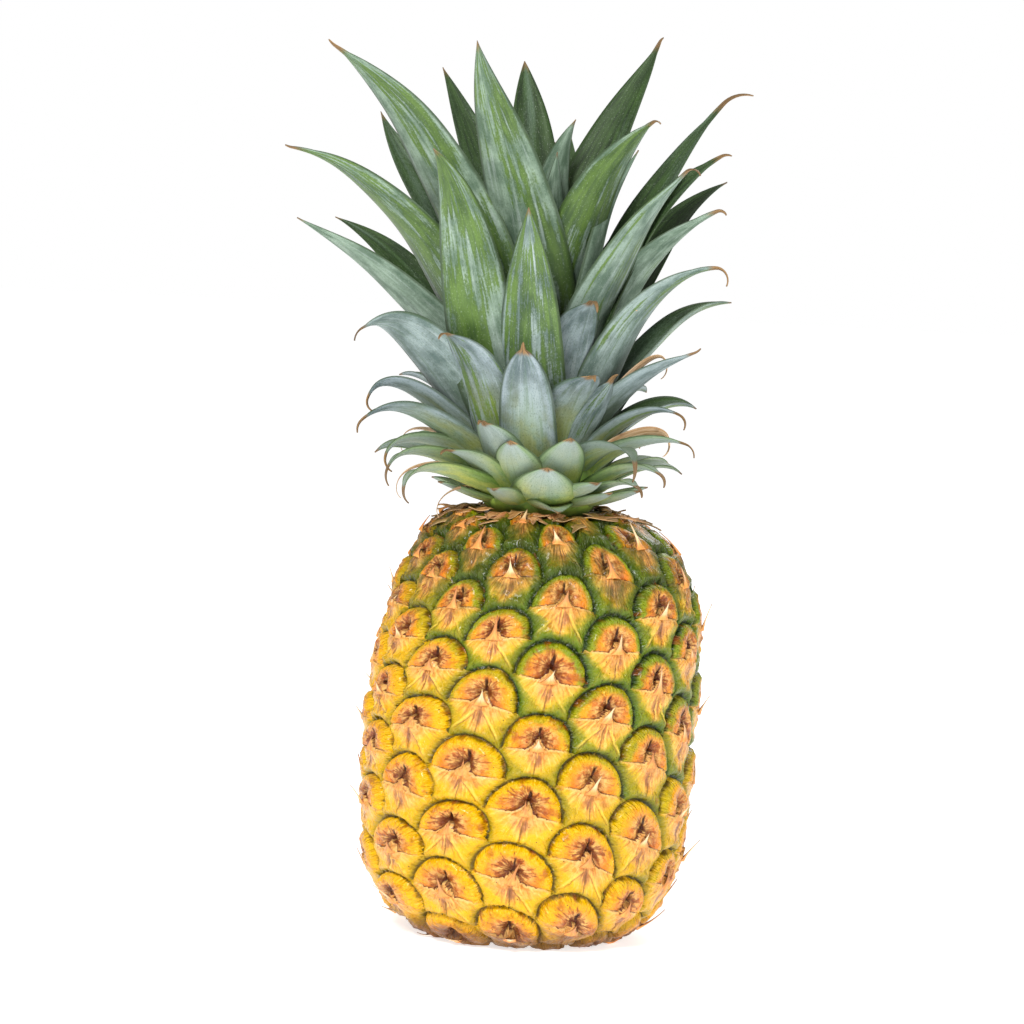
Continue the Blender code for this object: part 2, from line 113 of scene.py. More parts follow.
# ---- crown, as in the solid ----
STEM_PROFILE = ((18.0, 0.0), (22.0, 5.0), (21.0, 14.0), (16.0, 36.0), (8.0, 58.0), (2.5, 70.0))
START_HANDLE = 0.40
END_HANDLE = 0.28
RANDOM_SEED = 2
FRONT_LEAVES = (
    # tall leaves in the middle of the crown
    (-58, 36, 93, 165, 75, 28, 28, 0.0, -28),
    (-24, 38, 72, 169, 104, 66, 28, 0.0, -13),
    (-36, 22, 73, 131, 42, 37, 27, 0.0, -35),
    (-10, 16, 50, 112, 60, 74, 25, 0.1, 0),
    (202, 46, 34, 165, 84, 78, 25, 0.4, 0),
    (125, 44, 45, 174, 110, 64, 25, 0.0, -25),
    (60, 54, 8, 144, 100, 60, 20, 0.0, 40),
    (-112, 48, 46, 161, 80, 64, 22, 0.0, 40),
    (-118, 38, 74, 144, 80, 65, 22, 0.0, 34),
    (40, 30, 53, 144, 109, 26, 27, 0.0, 8),
    (76, 36, 31, 134, 82, 62, 22, 0.0, 0),
    (96, 38, 71, 155, 79, 17, 22, -0.2, -32),
    # arching leaves half way up
    (-62, 24, 105, 129, 69, 8, 26, -0.2, -19),
    (-82, 22, 93, 104, 67, 28, 24, -0.2, -36),
    (-115, 26, 89, 104, 57, 19, 22, -0.2, 34),
    (95, 30, 61, 133, 88, 32, 22, -0.1, -42),
    (54, 20, 58, 127, 93, 44, 25, -0.1, 15),
    (84, 22, 60, 113, 87, 27, 21, -0.2, 46),
    (64, 16, 66, 93, 77, 5, 21, -0.3, 26),
    (-58, 14, 78, 66, 50, -30, 27, 0.3, -23),
    (-38, 10, 58, 66, 48, 16, 23, 0.5, -8),
    (-10, 8, 48, 62, 42, 66, 21, 0.8, 0),
    (24, 12, 37, 79, 90, 30, 24, 0.6, 0),
    (22, 7, 44, 53, 84, 22, 23, 0.8, 0),
    (42, 12, 36, 51, 71, 60, 18, 0.5, 7),
    (70, 12, 57, 62, 81, 25, 19, 0.0, 20),
    # short leaves round the neck
    (-74, 9, 66, 40, 55, -73, 17, 0.1, -20),
    (-64, 7, 72, 33, 49, -41, 18, 0.1, -19),
    (-72, 5, 59, 19, 62, -84, 15, 0.1, -20),
    (-56, 4, 66, 16, 36, -70, 15, 0.1, -15),
    (-48, 3.4, 65, 9, 28, -93, 13, 0.1, -20),
    (-27, 5, 47, 35, 37, 35, 22, 0.6, 11),
    (-42, 4, 50, 24, 32, 10, 18, 0.5, 0),
    (0, 3.4, 41, 17, 4, 60, 21, 0.9, 0),
    (-11, 4, 42, 24, 28, 56, 18, 0.8, 0),
    (10, 4, 43, 25, 30, 54, 18, 0.8, 0),
    (72, 7, 52, 39, 73, -27, 16, 0.1, 14),
    (66, 5, 57, 29, 70, -15, 15, 0.1, 15),
    (38, 6, 54, 22, 84, -78, 17, 0.2, 9),
    (56, 4, 52, 18, 34, -30, 14, 0.2, 0),
    (50, 3.2, 46, 13, 20, -30, 13, 0.3, 0),
    (28, 3.2, 44, 15, 14, 26, 16, 0.6, 0),
)
BACK_TIERS = (
    (3, 150, 232, 42, 46, 154, 76, 64, 26, 0.0),
    (5, 112, 240, 32, 76, 122, 62, 34, 25, 0.0),
    (6, 100, 252, 20, 70, 84, 54, 8, 24, 0.2),
    (7, 94, 268, 11, 60, 46, 46, -18, 21, 0.4),
    (8, 86, 282, 5, 58, 20, 28, -34, 16, 0.3),
)
PLACE_SPREAD = 0.2
ROOT_SPREAD = 2.0
REACH_SPREAD = 0.1
TIP_SPREAD = 0.1
TIP_LEVEL = -20.0
ROOT_ANGLE_SPREAD = 4.0
TIP_ANGLE_SPREAD = 10.0
WIDTH_SPREAD = 0.08
TURN_SPREAD = 18.0
SWING_SPREAD = 3.0
COLLAR_LEAVES = 11
COLLAR_LEAF = (3.2, 40, 11, 6, 24, 15, 0.6, 0)
HEART_LEAVES = 4
HEART_LEAF = (58, 10, 132, 86, 82, 14, 0.0, 0)
HEART_STEP = (3, 2, -9)
FIRST_HEART_AZIMUTH = 20.0
GOLDEN_ANGLE = 137.508
ROOT_DEPTH = 0.55
LEAF_SHAPE_SEED = 8
LEAF_THICKNESS = 1.9
DRY_END_STEPS = 9
TALL_ROOT = 30                   # leaves rooted higher than this stand in the middle of the crown
ARCHING_ROOT = 9
PAPERY_END = (5.0, 60)
PAPERY_WEAR = 0.5
PAPERY_THICKNESS = 0.9
ROOT_SCALE = 60.0                # the blades' own numbers hold root / 60 and length / 150
LENGTH_SCALE = 150.0

# Dry ends of front leaves: length in millimetres and bend in degrees, outwards.
DRY_ENDS = {
    0: (4.0, -20), 5: (2.5, 30), 9: (4.0, 70), 11: (12.0, 62), 12: (3.0, -20), 15: (4.0, 50),
    16: (7.0, 110), 17: (4.0, 90), 18: (9.0, 120), 19: (5.0, 60), 20: (5.0, 80), 21: (2.5, -40),
    22: (8.0, 120), 23: (4.0, 100), 24: (4.0, 40), 25: (3.0, -30), 26: (5.0, 80), 27: (5.0, 60),
    28: (6.0, 70), 29: (6.0, 60), 30: (5.0, 60), 31: (4.0, 90), 36: (6.0, 90), 37: (6.0, 80),
    38: (6.0, 40), 39: (5.0, 80), 40: (4.0, 60), 32: (4.0, 60),
}
# How far the bloom is rubbed off each front leaf, from 0 to 1.
LEAF_WEAR = (
    0.55, 0.52, 0.66, 0.64, 0.6, 0.5, 0.25, 0.5, 0.5, 0.62, 0.3, 0.4, 0.58, 0.3,
    0.6, 0.5, 0.45, 0.25, 0.42, 0.12, 0.45, 0.05, 0.15, 0.05, 0.5, 0.25, 0.2, 0.2,
    0.15, 0.2, 0.2, 0.05, 0.15, 0.05, 0.1, 0.1, 0.3, 0.3, 0.3, 0.3, 0.3, 0.3,
)
# Leaves with finer measures than the solid's: the live part of one that ends in a dry curl,
# and the three in front of the neck, whose points are sharper.
FINER_LEAVES = {
    11: (96, 38, 61, 152, 76, 50, 22, -0.2, -32),
    33: (3, 3.4, 43, 20, 8, 58, 25, 0.45, 6),
    34: (-15, 4, 44, 29, 32, 50, 21, 0.35, 4),
    35: (13, 4, 45, 31, 34, 46, 21, 0.35, -4),
}
# The collar leaf under the front ones, lower than its neighbours.
FRONT_COLLAR_LEAF = (6, 1.4, 38, 3.5, 18, -8, 17, 0.3, 0)
# Dead papery strips among the low leaves, with the leaves' measures.
PAPERY_LEAVES = (
    (78, 16, 45, 56, 76, -84, 5.0, 0.0, 30),
    (74, 8, 48, 28, 64, -86, 9.0, 0.3, 40),
    (60, 18, 33, 74, 84, 60, 7.0, 0.3, 20),
    (-70, 6, 55, 9, 52, -84, 4.0, 0.1, -30),
    (-60, 4, 42, 3, 40, -70, 4.0, 0.0, -20),
    (150, 8, 56, 24, 56, -80, 5.0, 0.1, 20),
    (205, 7, 52, 12, 50, -80, 4.5, 0.1, -20),
    (248, 8, 56, 22, 56, -85, 4.5, 0.0, 10),
)

# ---- camera and light ----
CAMERA_DISTANCE = 1500.0 * MM
CAMERA_ELEVATION = math.radians(5.0)
CAMERA_ROLL = math.radians(2.7)
CAMERA_LENS = 142.5
CAMERA_SHIFT = (-2.22 * MM, 155.03 * MM)
WORLD_LIGHT = 0.38
FLOOR_GLOW = 0.68


# ---------------------------------------------------------------- helpers

def srgb(red, green, blue):
    """Linear colour of an 8-bit screen colour."""
    shares = [channel / 255.0 for channel in (red, green, blue)]
    return tuple(s / 12.92 if s <= 0.04045 else ((s + 0.055) / 1.055) ** 2.4 for s in shares)


def smooth(low, high, value):
    """Smooth step from 0 at low to 1 at high; low may be above high."""
    share = np.clip((value - low) / (high - low), 0.0, 1.0)
    return share * share * (3.0 - 2.0 * share)


class Signal:
    """A shader node's output; plain arithmetic with it adds further nodes."""

    def __init__(self, nodes, socket):
        self.nodes = nodes
        self.socket = socket

    def __add__(self, other):
        return self.nodes.math("ADD", self, other)

    def __radd__(self, other):
        return self.nodes.math("ADD", other, self)

    def __sub__(self, other):
        return self.nodes.math("SUBTRACT", self, other)

    def __rsub__(self, other):
        return self.nodes.math("SUBTRACT", other, self)

    def __mul__(self, other):
        return self.nodes.math("MULTIPLY", self, other)

    def __truediv__(self, other):
        return self.nodes.math("DIVIDE", self, other)

    def __pow__(self, other):
        return self.nodes.math("POWER", self, other)

    def __abs__(self):
        return self.nodes.math("ABSOLUTE", self)


class Nodes:
    """Short calls that add linked shader nodes to one new material."""

    def __init__(self, name):
        self.material = bpy.data.materials.new(name)
        self.material.use_nodes = True
        self.tree = self.material.node_tree
        self.shader = self.tree.nodes["Principled BSDF"]

    def link(self, value, socket):
        """Feed a socket with a signal, or set its number; three numbers are an 8-bit screen colour."""
        if isinstance(value, Signal):
            self.tree.links.new(value.socket, socket)
        elif isinstance(value, tuple) and len(value) == 3:
            socket.default_value = (*srgb(*value), 1.0)
        else:
            socket.default_value = value

    def new(self, kind, output, inputs, **settings):
        """One output of a new node, its settings made and its inputs fed."""
        node = self.tree.nodes.new("ShaderNode" + kind)
        for name, value in settings.items():
            setattr(node, name, value)
        for socket, value in inputs.items():
            self.link(value, node.inputs[socket])
        return Signal(self, node.outputs[output])

    def attribute(self, name):
        """The three numbers of a corner attribute."""
        vector = self.new("Attribute", "Vector", {}, attribute_name=name)
        parts = self.tree.nodes.new("ShaderNodeSeparateXYZ")
        self.link(vector, parts.inputs[0])
        return [Signal(self, part) for part in parts.outputs]

    def math(self, operation, first, second=0.0):
        return self.new("Math", 0, {0: first, 1: second}, operation=operation)

    def step(self, low, high, value):
        """Smooth step from 0 at low to 1 at high; low may be above high."""
        start, end, first, last = (low, high, 0.0, 1.0) if low < high else (high, low, 1.0, 0.0)
        inputs = {"Value": value, "From Min": start, "From Max": end, "To Min": first, "To Max": last}
        return self.new("MapRange", "Result", inputs, interpolation_type="SMOOTHSTEP")

    def mix(self, factor, first, second, blend="MIX"):
        return self.new("Mix", 2, {0: factor, 6: first, 7: second}, data_type="RGBA", blend_type=blend)

    def layers(self, colour, *layers):
        """A colour with others laid over it in turn, each by its own mask."""
        for mask, over in layers:
            colour = self.mix(mask, colour, over)
        return colour

    def vector(self, x, y, z):
        return self.new("CombineXYZ", 0, {0: x, 1: y, 2: z})

    def place(self):
        return self.new("TexCoord", "Object", {})

    def noise(self, vector, scale, detail=3.0, roughness=0.55):
        inputs = {"Vector": vector, "Scale": scale, "Detail": detail, "Roughness": roughness}
        return self.new("TexNoise", "Fac", inputs)

    def threads(self, place, stretch, scale, detail=3.0, roughness=0.55):
        """Noise over three signals, each stretched by a factor of its own."""
        stretched = [signal * factor for signal, factor in zip(place, stretch)]
        return self.noise(self.vector(*stretched), scale, detail, roughness)

    def voronoi(self, vector, scale):
        return self.new("TexVoronoi", "Distance", {"Vector": vector, "Scale": scale})

    def set(self, **values):
        """Set or feed the shader's sockets, named with underscores for spaces."""
        for name, value in values.items():
            self.link(value, self.shader.inputs[name.replace("_", " ")])

    def finish(self, colour, roughness, relief, strength, distance):
        """Feed the shader's colour, roughness and bump, and return the material."""
        bump = self.new("Bump", "Normal", {"Strength": strength, "Distance": distance, "Height": relief})
        self.set(Base_Color=colour, Roughness=roughness, Normal=bump)
        return self.material


def add_object(name, data):
    """A new object of the scene that shows the data."""
    thing = bpy.data.objects.new(name, data)
    bpy.context.scene.collection.objects.link(thing)
    return thing


def new_piece(name, points, faces, material, replaced=(), corners=None):
    """A mesh piece that rides on the part's only body, with its own corner attributes."""
    mesh = bpy.data.meshes.new(name)
    mesh.from_pydata(points, [], faces)
    for label, values in (corners or {}).items():
        layer = mesh.attributes.new(label, "FLOAT_VECTOR", "CORNER")
        layer.data.foreach_set("vector", np.asarray(values, np.float32).ravel())
    mesh.materials.append(material)
    mesh.shade_smooth()
    piece = add_object(name, mesh)
    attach(piece, "root")
    if replaced:
        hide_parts(*replaced)
    return piece


# ---------------------------------------------------------------- the barrel

def make_meridian():
    """Arrays of arc length, radius, height, swing and normal, as in the solid."""
    z = NECK_HEIGHT * (0.5 - 0.5 * np.cos(np.pi * np.arange(MERIDIAN_STEPS + 1) / MERIDIAN_STEPS))
    upper = np.clip((z - WIDEST_HEIGHT) / (BODY_HEIGHT - WIDEST_HEIGHT), 0.0, 1.0)
    lower = np.clip((WIDEST_HEIGHT - z) / (WIDEST_HEIGHT + FOOT_DEPTH), 0.0, 1.0)
    radius = np.where(z > WIDEST_HEIGHT,
                      (1.0 - upper ** UPPER_POWERS[0]) ** (1.0 / UPPER_POWERS[1]),
                      (1.0 - lower ** LOWER_POWERS[0]) ** (1.0 / LOWER_POWERS[1])) * BODY_RADIUS
    run = np.hypot(np.diff(radius), np.diff(z))
    arc = np.concatenate(([0.0], np.cumsum(run)))
    swing = np.concatenate(([0.0], np.cumsum(2.0 * run / (radius[1:] + radius[:-1]))))
    at_widest = np.argmin(np.abs(z - WIDEST_HEIGHT))
    arc = arc + z[at_widest] - arc[at_widest]
    return {"arc": arc, "radius": radius, "z": z, "swing": swing - swing[at_widest],
            "out": np.gradient(z, arc), "up": -np.gradient(radius, arc)}


MERIDIAN = make_meridian()


def on_meridian(arc):
    """Radius, height, swing and outward normal (radial, upward) at arc lengths."""
    radius, z, swing, out, up = (np.interp(arc, MERIDIAN["arc"], MERIDIAN[name])
                                 for name in ("radius", "z", "swing", "out", "up"))
    length = np.hypot(out, up)
    return radius, z, swing, out / length, up / length


def lattice_place(rank, row):
    """Azimuth and arc length of points of the eye lattice, as in the solid."""
    around = rank * RANK_ANGLE
    down = row - rank * ROWS_SHIFT / RANKS
    drift = np.radians(5.0 - 3.0 * np.cos(around) - 3.0 * np.sin(around))
    angle = around + FIRST_ANGLE + math.radians(3.0) * np.sin(around) - drift * down
    arc = FIRST_HEIGHT - ROW_STEP * down
    arc = arc + (10.0 * np.cos(around) + (3.0 - 3.5 * down) * np.sin(around)) * MM
    return angle, arc


def on_fruit(angle, arc, relief):
    """Places on the fruit, and their directions on the ball that stands for it."""
    radius, z, swing, out, up = on_meridian(arc)
    radius = radius + relief * out
    z = np.maximum(z + relief * up, 0.0)
    sway = BODY_SWAY * np.sin(np.pi * np.clip(z / NECK_HEIGHT, 0.0, 1.0) ** SWAY_POWER)
    spots = np.stack([radius * np.sin(angle) + sway, -radius * np.cos(angle), z], axis=1)
    polar = 2.0 * np.arctan(np.exp(swing))
    flat = np.sin(polar)
    balls = np.stack([flat * np.sin(angle), -flat * np.cos(angle), -np.cos(polar)], axis=1)
    return spots, balls


# ---------------------------------------------------------------- one eye

def arm_line(x):
    """Height of the bract's upper edge at x, tip included."""
    tip = TIP_RISE * np.clip(1.0 - np.abs(x) / TIP_WIDTH, 0.0, 1.0) ** 1.6
    return tip - ARM_DROOP * (np.abs(x) / ARM_REACH) ** 4


def arch_share(x, y):
    """Distance from the dome's middle as a share of the distance to its arch."""
    return np.hypot(x / ARCH_WIDTH, (y - ARCH_MIDDLE) / ARCH_RISE)


def eye_offset(rank, row):
    """Where the eye so many ranks and rows on lies in the pattern, in millimetres."""
    return rank * RANK_SPAN, rank * ROW_SPAN / 2.0 - row * ROW_SPAN


def moved_by(rank, row, x, y):
    """Rank and row of places so many millimetres from an eye."""
    return rank + x / RANK_SPAN, row + (x / RANK_SPAN * 0.5 - y / ROW_SPAN)


def owner_of(x, y):
    """Steps (ranks, rows) to the eye that owns each point, and whether it lies on the dome.

    A point on no dome belongs to the bract whose upper edge is the next above it.
    """
    best_rank = np.zeros(x.shape)
    best_row = np.zeros(x.shape)
    on_dome = np.zeros(x.shape, bool)
    nearest = np.full(x.shape, 1e9)
    for rank in (-1, 0, 1):
        for row in (-2, -1, 0, 1, 2):
            eye_x, eye_y = eye_offset(rank, row)
            dx = x - eye_x
            dy = y - eye_y
            above = dy - arm_line(dx)
            dome = (arch_share(dx, dy) < 1.0) & (above > 0.0)
            bract = (above <= 0.0) & (np.abs(dx) < ARM_REACH + 1.5) & (-above < nearest) & ~on_dome
            best_rank = np.where(dome | bract, rank, best_rank)
            best_row = np.where(dome | bract, row, best_row)
            nearest = np.where(bract, -above, nearest)
            on_dome = on_dome | dome
    return best_rank, best_row, on_dome


def lower_arch_distance(x, y):
    """Millimetres from points of a bract to the nearest arch of the eyes around it."""
    distance = np.full(x.shape, 1e9)
    for rank, row in ((-1, 0), (1, 1), (0, 1), (1, 0), (-1, -1), (0, 0)):
        eye_x, eye_y = eye_offset(rank, row)
        dx = x - eye_x
        dy = y - eye_y
        off = np.abs(arch_share(dx, dy) - 1.0) * 12.0
        off = np.where(dy < arm_line(dx) - 0.5, 1e9, off)
        distance = np.minimum(distance, off)
    return distance


def stations(curve, spacing):
    """Points spaced evenly along a fine polyline, and the directions across it there."""
    run = np.hypot(*np.diff(curve, axis=0).T)
    length = np.concatenate(([0.0], np.cumsum(run)))
    count = int(round(length[-1] / spacing)) + 1
    at = np.linspace(0.0, length[-1], count)
    places = np.column_stack([np.interp(at, length, curve[:, axis]) for axis in range(2)])
    ahead = np.gradient(places, axis=0)
    ahead /= np.hypot(*ahead.T)[:, None]
    return places, np.column_stack((-ahead[:, 1], ahead[:, 0]))


def eye_template():
    """Points of one eye's cell: rows along its arch and edges first, then an even fill."""
    theta = np.linspace(-0.03, math.pi + 0.03, 400)
    half_edge = np.linspace(0.0, ARM_REACH, 400)
    share = np.linspace(0.12, 1.0, 100)
    arch = np.column_stack((ARCH_WIDTH * np.cos(theta), ARCH_MIDDLE + ARCH_RISE * np.sin(theta)))
    edges = [np.column_stack((side * half_edge, arm_line(half_edge))) for side in (-1.0, 1.0)]
    middle = np.column_stack((np.zeros(100), np.linspace(-11.0, TIP_RISE - 0.4, 100)))
    cleft = np.column_stack((np.zeros(100), np.linspace(TIP_RISE + 0.3, CLEFT_TOP, 100)))
    folds = [np.column_stack((side * (0.8 + 7.7 * share), -1.5 - 10.0 * share)) for side in (-1.0, 1.0)]
    wanted = []
    # Curves, spacing along them, distances of the rows to either side and least gap to other points.
    for curves, spacing, offsets, clear in (
        ([arch], 0.8, (0.0, 0.5, -0.5, 1.25, -1.25), 0.34),
        (edges, 0.68, (0.0, 0.42, -0.42, 1.1, -1.1), 0.32),
        ([middle], 0.8, (0.0, 0.5, -0.5), 0.4),
        ([cleft], 0.7, (0.0, 0.45, -0.45), 0.38),
        (folds, 0.85, (0.0, 0.55, -0.55), 0.45),
    ):
        for curve in curves:
            places, across = stations(curve, spacing)
            for offset in offsets:
                wanted += [(x, y, clear) for x, y in places + across * offset]
    rows = int(2.2 * ROW_SPAN / (FILL_STEP * TRIANGLE_HEIGHT))
    for row in range(rows):
        for column in range(int(1.6 * RANK_SPAN / FILL_STEP)):
            x = -0.8 * RANK_SPAN + (column + 0.5 * (row % 2)) * FILL_STEP
            wanted.append((x, -1.1 * ROW_SPAN + row * FILL_STEP * TRIANGLE_HEIGHT, 0.68 * FILL_STEP))
    wanted = np.array(wanted)
    rank, row, _ = owner_of(wanted[:, 0], wanted[:, 1])
    wanted = wanted[(rank == 0) & (row == 0)]
    neighbours = ((0, 0), (1, 0), (-1, 0), (1, 1), (-1, -1), (0, 1), (0, -1))
    offsets = np.array([eye_offset(*steps) for steps in neighbours])[:, None, :]
    kept = np.zeros((0, 2))
    for x, y, clear in wanted:
        gaps = kept + offsets - (x, y)
        if not ((gaps ** 2).sum(axis=2) < clear * clear).any():
            kept = np.vstack((kept, (x, y)))
    return kept


def mound(x, y, wide, tall):
    """A smooth oval mound, 1 in its middle."""
    return np.exp(-(x / wide) ** 2 - (y / tall) ** 2)


def eye_relief(x, y, on_dome, traits):
    """Height in millimetres of the skin over the barrel, for points of one or many eyes."""
    share = arch_share(x, y)
    inside = np.clip(1.0 - share, 0.0, 1.0) * DOME_SIZE
    above = y - arm_line(x)
    to_cup = np.hypot(x / 4.4, (y - 4.6) / 3.4)
    lip = 1.0 - np.exp(-inside / 0.85)
    dome = GROOVE_DEPTH + (4.0 + 0.5 * traits["swell"]) * lip
    dome += 0.6 * np.sin(np.pi * np.clip(inside / 9.0, 0.0, 1.0))
    dome -= (1.5 + 0.6 * traits["cup"]) * np.exp(-to_cup ** 2)
    slit = np.exp(-(x / 0.45) ** 2) * smooth(CLEFT_TOP, CLEFT_TOP - 2.0, y)
    dome -= 1.5 * slit * (share < 0.95)
    dome -= 1.1 * np.exp(-np.clip(above, 0.0, None) / 0.6) * smooth(13.0, 6.0, np.abs(x))
    dome += 0.6 * mound(np.abs(x) - 3.8, y - 4.2, 2.2, 2.8)
    spokes = np.sin(4.0 * np.arctan2(y - 4.0, x) + 9.0 * traits["cup"])
    dome += 0.22 * spokes * np.exp(-((inside - 4.0) / 3.5) ** 2)

    lumps = np.sin(1.45 * x + 6.0 * traits["cup"]) * np.sin(1.55 * y + 6.0 * traits["swell"])
    dome += 0.30 * lumps * smooth(0.8, 3.0, inside)

    below = np.clip(-above, 0.0, None)
    along = np.clip(np.abs(x) / ARM_REACH, 0.0, 1.0)
    apron = 2.8 - 1.7 * along ** 1.4
    apron = apron - 1.1 * smooth(0.8, 7.0, below) + 0.6 * smooth(7.0, 10.5, below)
    apron += 0.3 * np.clip(y / TIP_RISE, 0.0, 1.0) ** 1.2
    apron += 0.6 * mound(x, y + 2.0, 2.4, 2.5)
    apron -= 0.7 * np.exp(-(x / 0.45) ** 2) * smooth(-2.5, -5.0, y)
    apron -= 0.45 * mound(x, y + 6.0, 3.2, 2.4)
    for side, depth in ((-1.0, traits["left_fold"]), (1.0, traits["right_fold"])):
        ridge_x = side * (0.8 + 7.7 * (-1.5 - y) / 10.0)
        off = (x - ridge_x) * 0.8
        fold = np.exp(-(off / 0.5) ** 2) * smooth(-1.4, -3.2, y) * smooth(-13.5, -10.5, y)
        apron += depth * fold
    apron += 0.25 * lumps * smooth(1.0, 3.0, below)
    apron -= 0.9 * np.exp(-below / 0.25) * smooth(1.0, 0.6, along)
    edge = 1.0 - np.exp(-lower_arch_distance(x, y) / 0.75)
    apron = GROOVE_DEPTH + (apron - GROOVE_DEPTH) * edge
    return np.where(on_dome, dome, apron)


def eye_traits(count):
    """Seeded measures that make each eye its own."""
    draw = np.random.RandomState(EYE_SEED)
    return {
        "swell": draw.uniform(-1.0, 1.0, count),
        "cup": draw.uniform(-1.0, 1.0, count),
        "left_fold": np.clip(draw.uniform(-1.4, 1.2, count), 0.0, 1.0),
        "right_fold": np.clip(draw.uniform(-0.5, 1.4, count), 0.0, 1.0),
        "lean": draw.uniform(-1.0, 1.0, count),
        "tip": draw.uniform(-0.8, 1.6, count),
        "lift": draw.uniform(-0.45, 0.45, count),
        "seed": draw.uniform(0.0, 1.0, count),
        "brown": draw.uniform(0.0, 1.0, count),
    }


def waver(rank, row):
    """A slow wander of the pattern, in millimetres, that closes round the fruit."""
    around = rank * RANK_ANGLE
    down = row - rank * ROWS_SHIFT / RANKS
    across = 0.9 * np.sin(3 * around + 1.3 * down) + 0.7 * np.sin(7 * around - 2.1 * down + 1.0)
    up = 0.9 * np.sin(5 * around + 1.7 * down + 2.0) + 0.6 * np.cos(9 * around + 2.6 * down)
    return across, up


def grown_ripe(angle, arc):
    """0 where the skin is green, 1 where it is ripe yellow: ripest low and on the left."""
    left = 0.5 - 0.5 * np.sin(angle + math.radians(30.0))
    low = smooth(0.165, 0.010, arc)
    return np.clip(0.62 * left + 0.75 * low - 0.17, 0.0, 1.0)


def above_floor(z):
    """Heights eased so that nothing reaches under the flat spot that the fruit stands on."""
    return np.where(z < FLOOR_EASE, FLOOR_EASE * np.exp(np.minimum(z / FLOOR_EASE - 1.0, 0.0)), z)


def make_fruit(material):
    """The fruit's whole skin: every eye's cell in relief, and the discs at its foot and neck."""
    template = eye_template()
    ranks, rows = np.meshgrid(np.arange(RANKS), np.array(ROW_RANGE), indexing="ij")
    ranks = ranks.ravel().astype(float)
    rows = rows.ravel().astype(float)
    traits = eye_traits(len(ranks))

    count = len(template)
    x = np.tile(template[:, 0], len(ranks))
    y = np.tile(template[:, 1], len(ranks))
    each = {name: np.repeat(values, count) for name, values in traits.items()}
    _, _, on_dome = owner_of(x, y)
    height = eye_relief(x, y, on_dome, each) + each["lift"]
    height -= each["lift"] * np.exp(-lower_arch_distance(x, y) / 2.0)

    # Each eye's middle leans and stretches a little, away from its borders.
    loose = mound(x, y - 2.5, 4.5, 5.0)
    moved_x = x + loose * (0.5 * each["lean"] * np.clip(y / 5.0, -1.0, 1.5))
    moved_y = y + loose * 0.3 * each["tip"] * np.clip(y / 5.0, 0.0, 1.2)

    eye_rank = np.repeat(ranks, count)
    eye_row = np.repeat(rows, count)
    rank, row = moved_by(eye_rank, eye_row, x, y)
    across, up = waver(rank, row)
    angle, arc = lattice_place(*moved_by(eye_rank, eye_row, moved_x + across, moved_y + up))
    margin = np.minimum(arc - MERIDIAN["arc"][0], MERIDIAN["arc"][-1] - arc)
    keep = margin > 0.8 * MM
    rank, row, angle, arc, height, margin = (a[keep] for a in (rank, row, angle, arc, height, margin))
    relief = height * MM * np.clip(margin / SKIN_FADE, 0.0, 1.0)
    spots, balls = on_fruit(angle, arc, relief)
    spots[:, 2] = above_floor(spots[:, 2])

    caps_spots, caps_balls = cap_points()
    spots = np.vstack((spots, caps_spots))
    balls = np.vstack((balls, caps_balls))
    caps = len(caps_spots)
    rank = np.concatenate((rank, np.full(caps, np.nan)))
    row = np.concatenate((row, np.full(caps, np.nan)))
    faces = skin_faces(balls)
    corners = skin_corners(faces, rank, row, spots, traits)
    print("fruit skin:", len(template), "points an eye,", len(faces), "triangles")
    new_piece("fruit_skin", spots.tolist(), faces.tolist(), material, ("fruit",), corners)


def cap_points():
    """Rings that close the skin: the foot with its socket, and the disc under the crown."""
    spots = []
    balls = []

    def add_ring(radius, z, polar, sides, turn, ripple=0.0, phase=0.0):
        for side in range(sides):
            angle = 2.0 * math.pi * (side + turn) / sides
            lift = ripple * (0.5 + 0.5 * math.sin(5 * angle + phase))
            flat = math.sin(polar)
            spots.append((radius * math.sin(angle), -radius * math.cos(angle), z + lift))
            balls.append((flat * math.sin(angle), -flat * math.cos(angle), -math.cos(polar)))

    foot = MERIDIAN["radius"][0]
    socket = STALK_RADIUS + GAP
    rings = [(share * foot, 0.0) for share in FOOT_RINGS]
    rings += [(socket + 0.2 * MM, 0.0), (socket, 0.4 * MM), (socket - 0.02 * MM, STALK_DEPTH - 0.3 * MM),
              (socket - 0.4 * MM, STALK_DEPTH), (0.6 * socket, STALK_DEPTH), (0.3 * socket, STALK_DEPTH)]
    edge = 2.0 * math.atan(math.exp(MERIDIAN["swing"][0]))
    for number, (radius, z) in enumerate(rings):
        sides = CAP_SIDES if number < len(rings) - 2 else CAP_SIDES // 3
        ripple = FOOT_RIPPLE * math.sin(2.9 * number) ** 2 if 0 < number < len(FOOT_RINGS) - 1 else 0.0
        polar = edge * (1.0 - number / len(rings))
        add_ring(radius, z, polar, sides, 0.5 * (number % 2), ripple, 2.1 * number)
    spots.append((0.0, 0.0, STALK_DEPTH))
    balls.append((0.0, 0.0, -1.0))
    top = MERIDIAN["radius"][-1]
    top_polar = 2.0 * math.atan(math.exp(MERIDIAN["swing"][-1]))
    for number in range(TOP_RINGS):
        share = 1.0 - number / TOP_RINGS
        polar = math.pi - (math.pi - top_polar) * share
        add_ring(top * share, NECK_HEIGHT, polar, CAP_SIDES, 0.5 * (number % 2))
    spots.append((0.0, 0.0, NECK_HEIGHT))
    balls.append((0.0, 0.0, 1.0))
    return np.array(spots), np.array(balls)


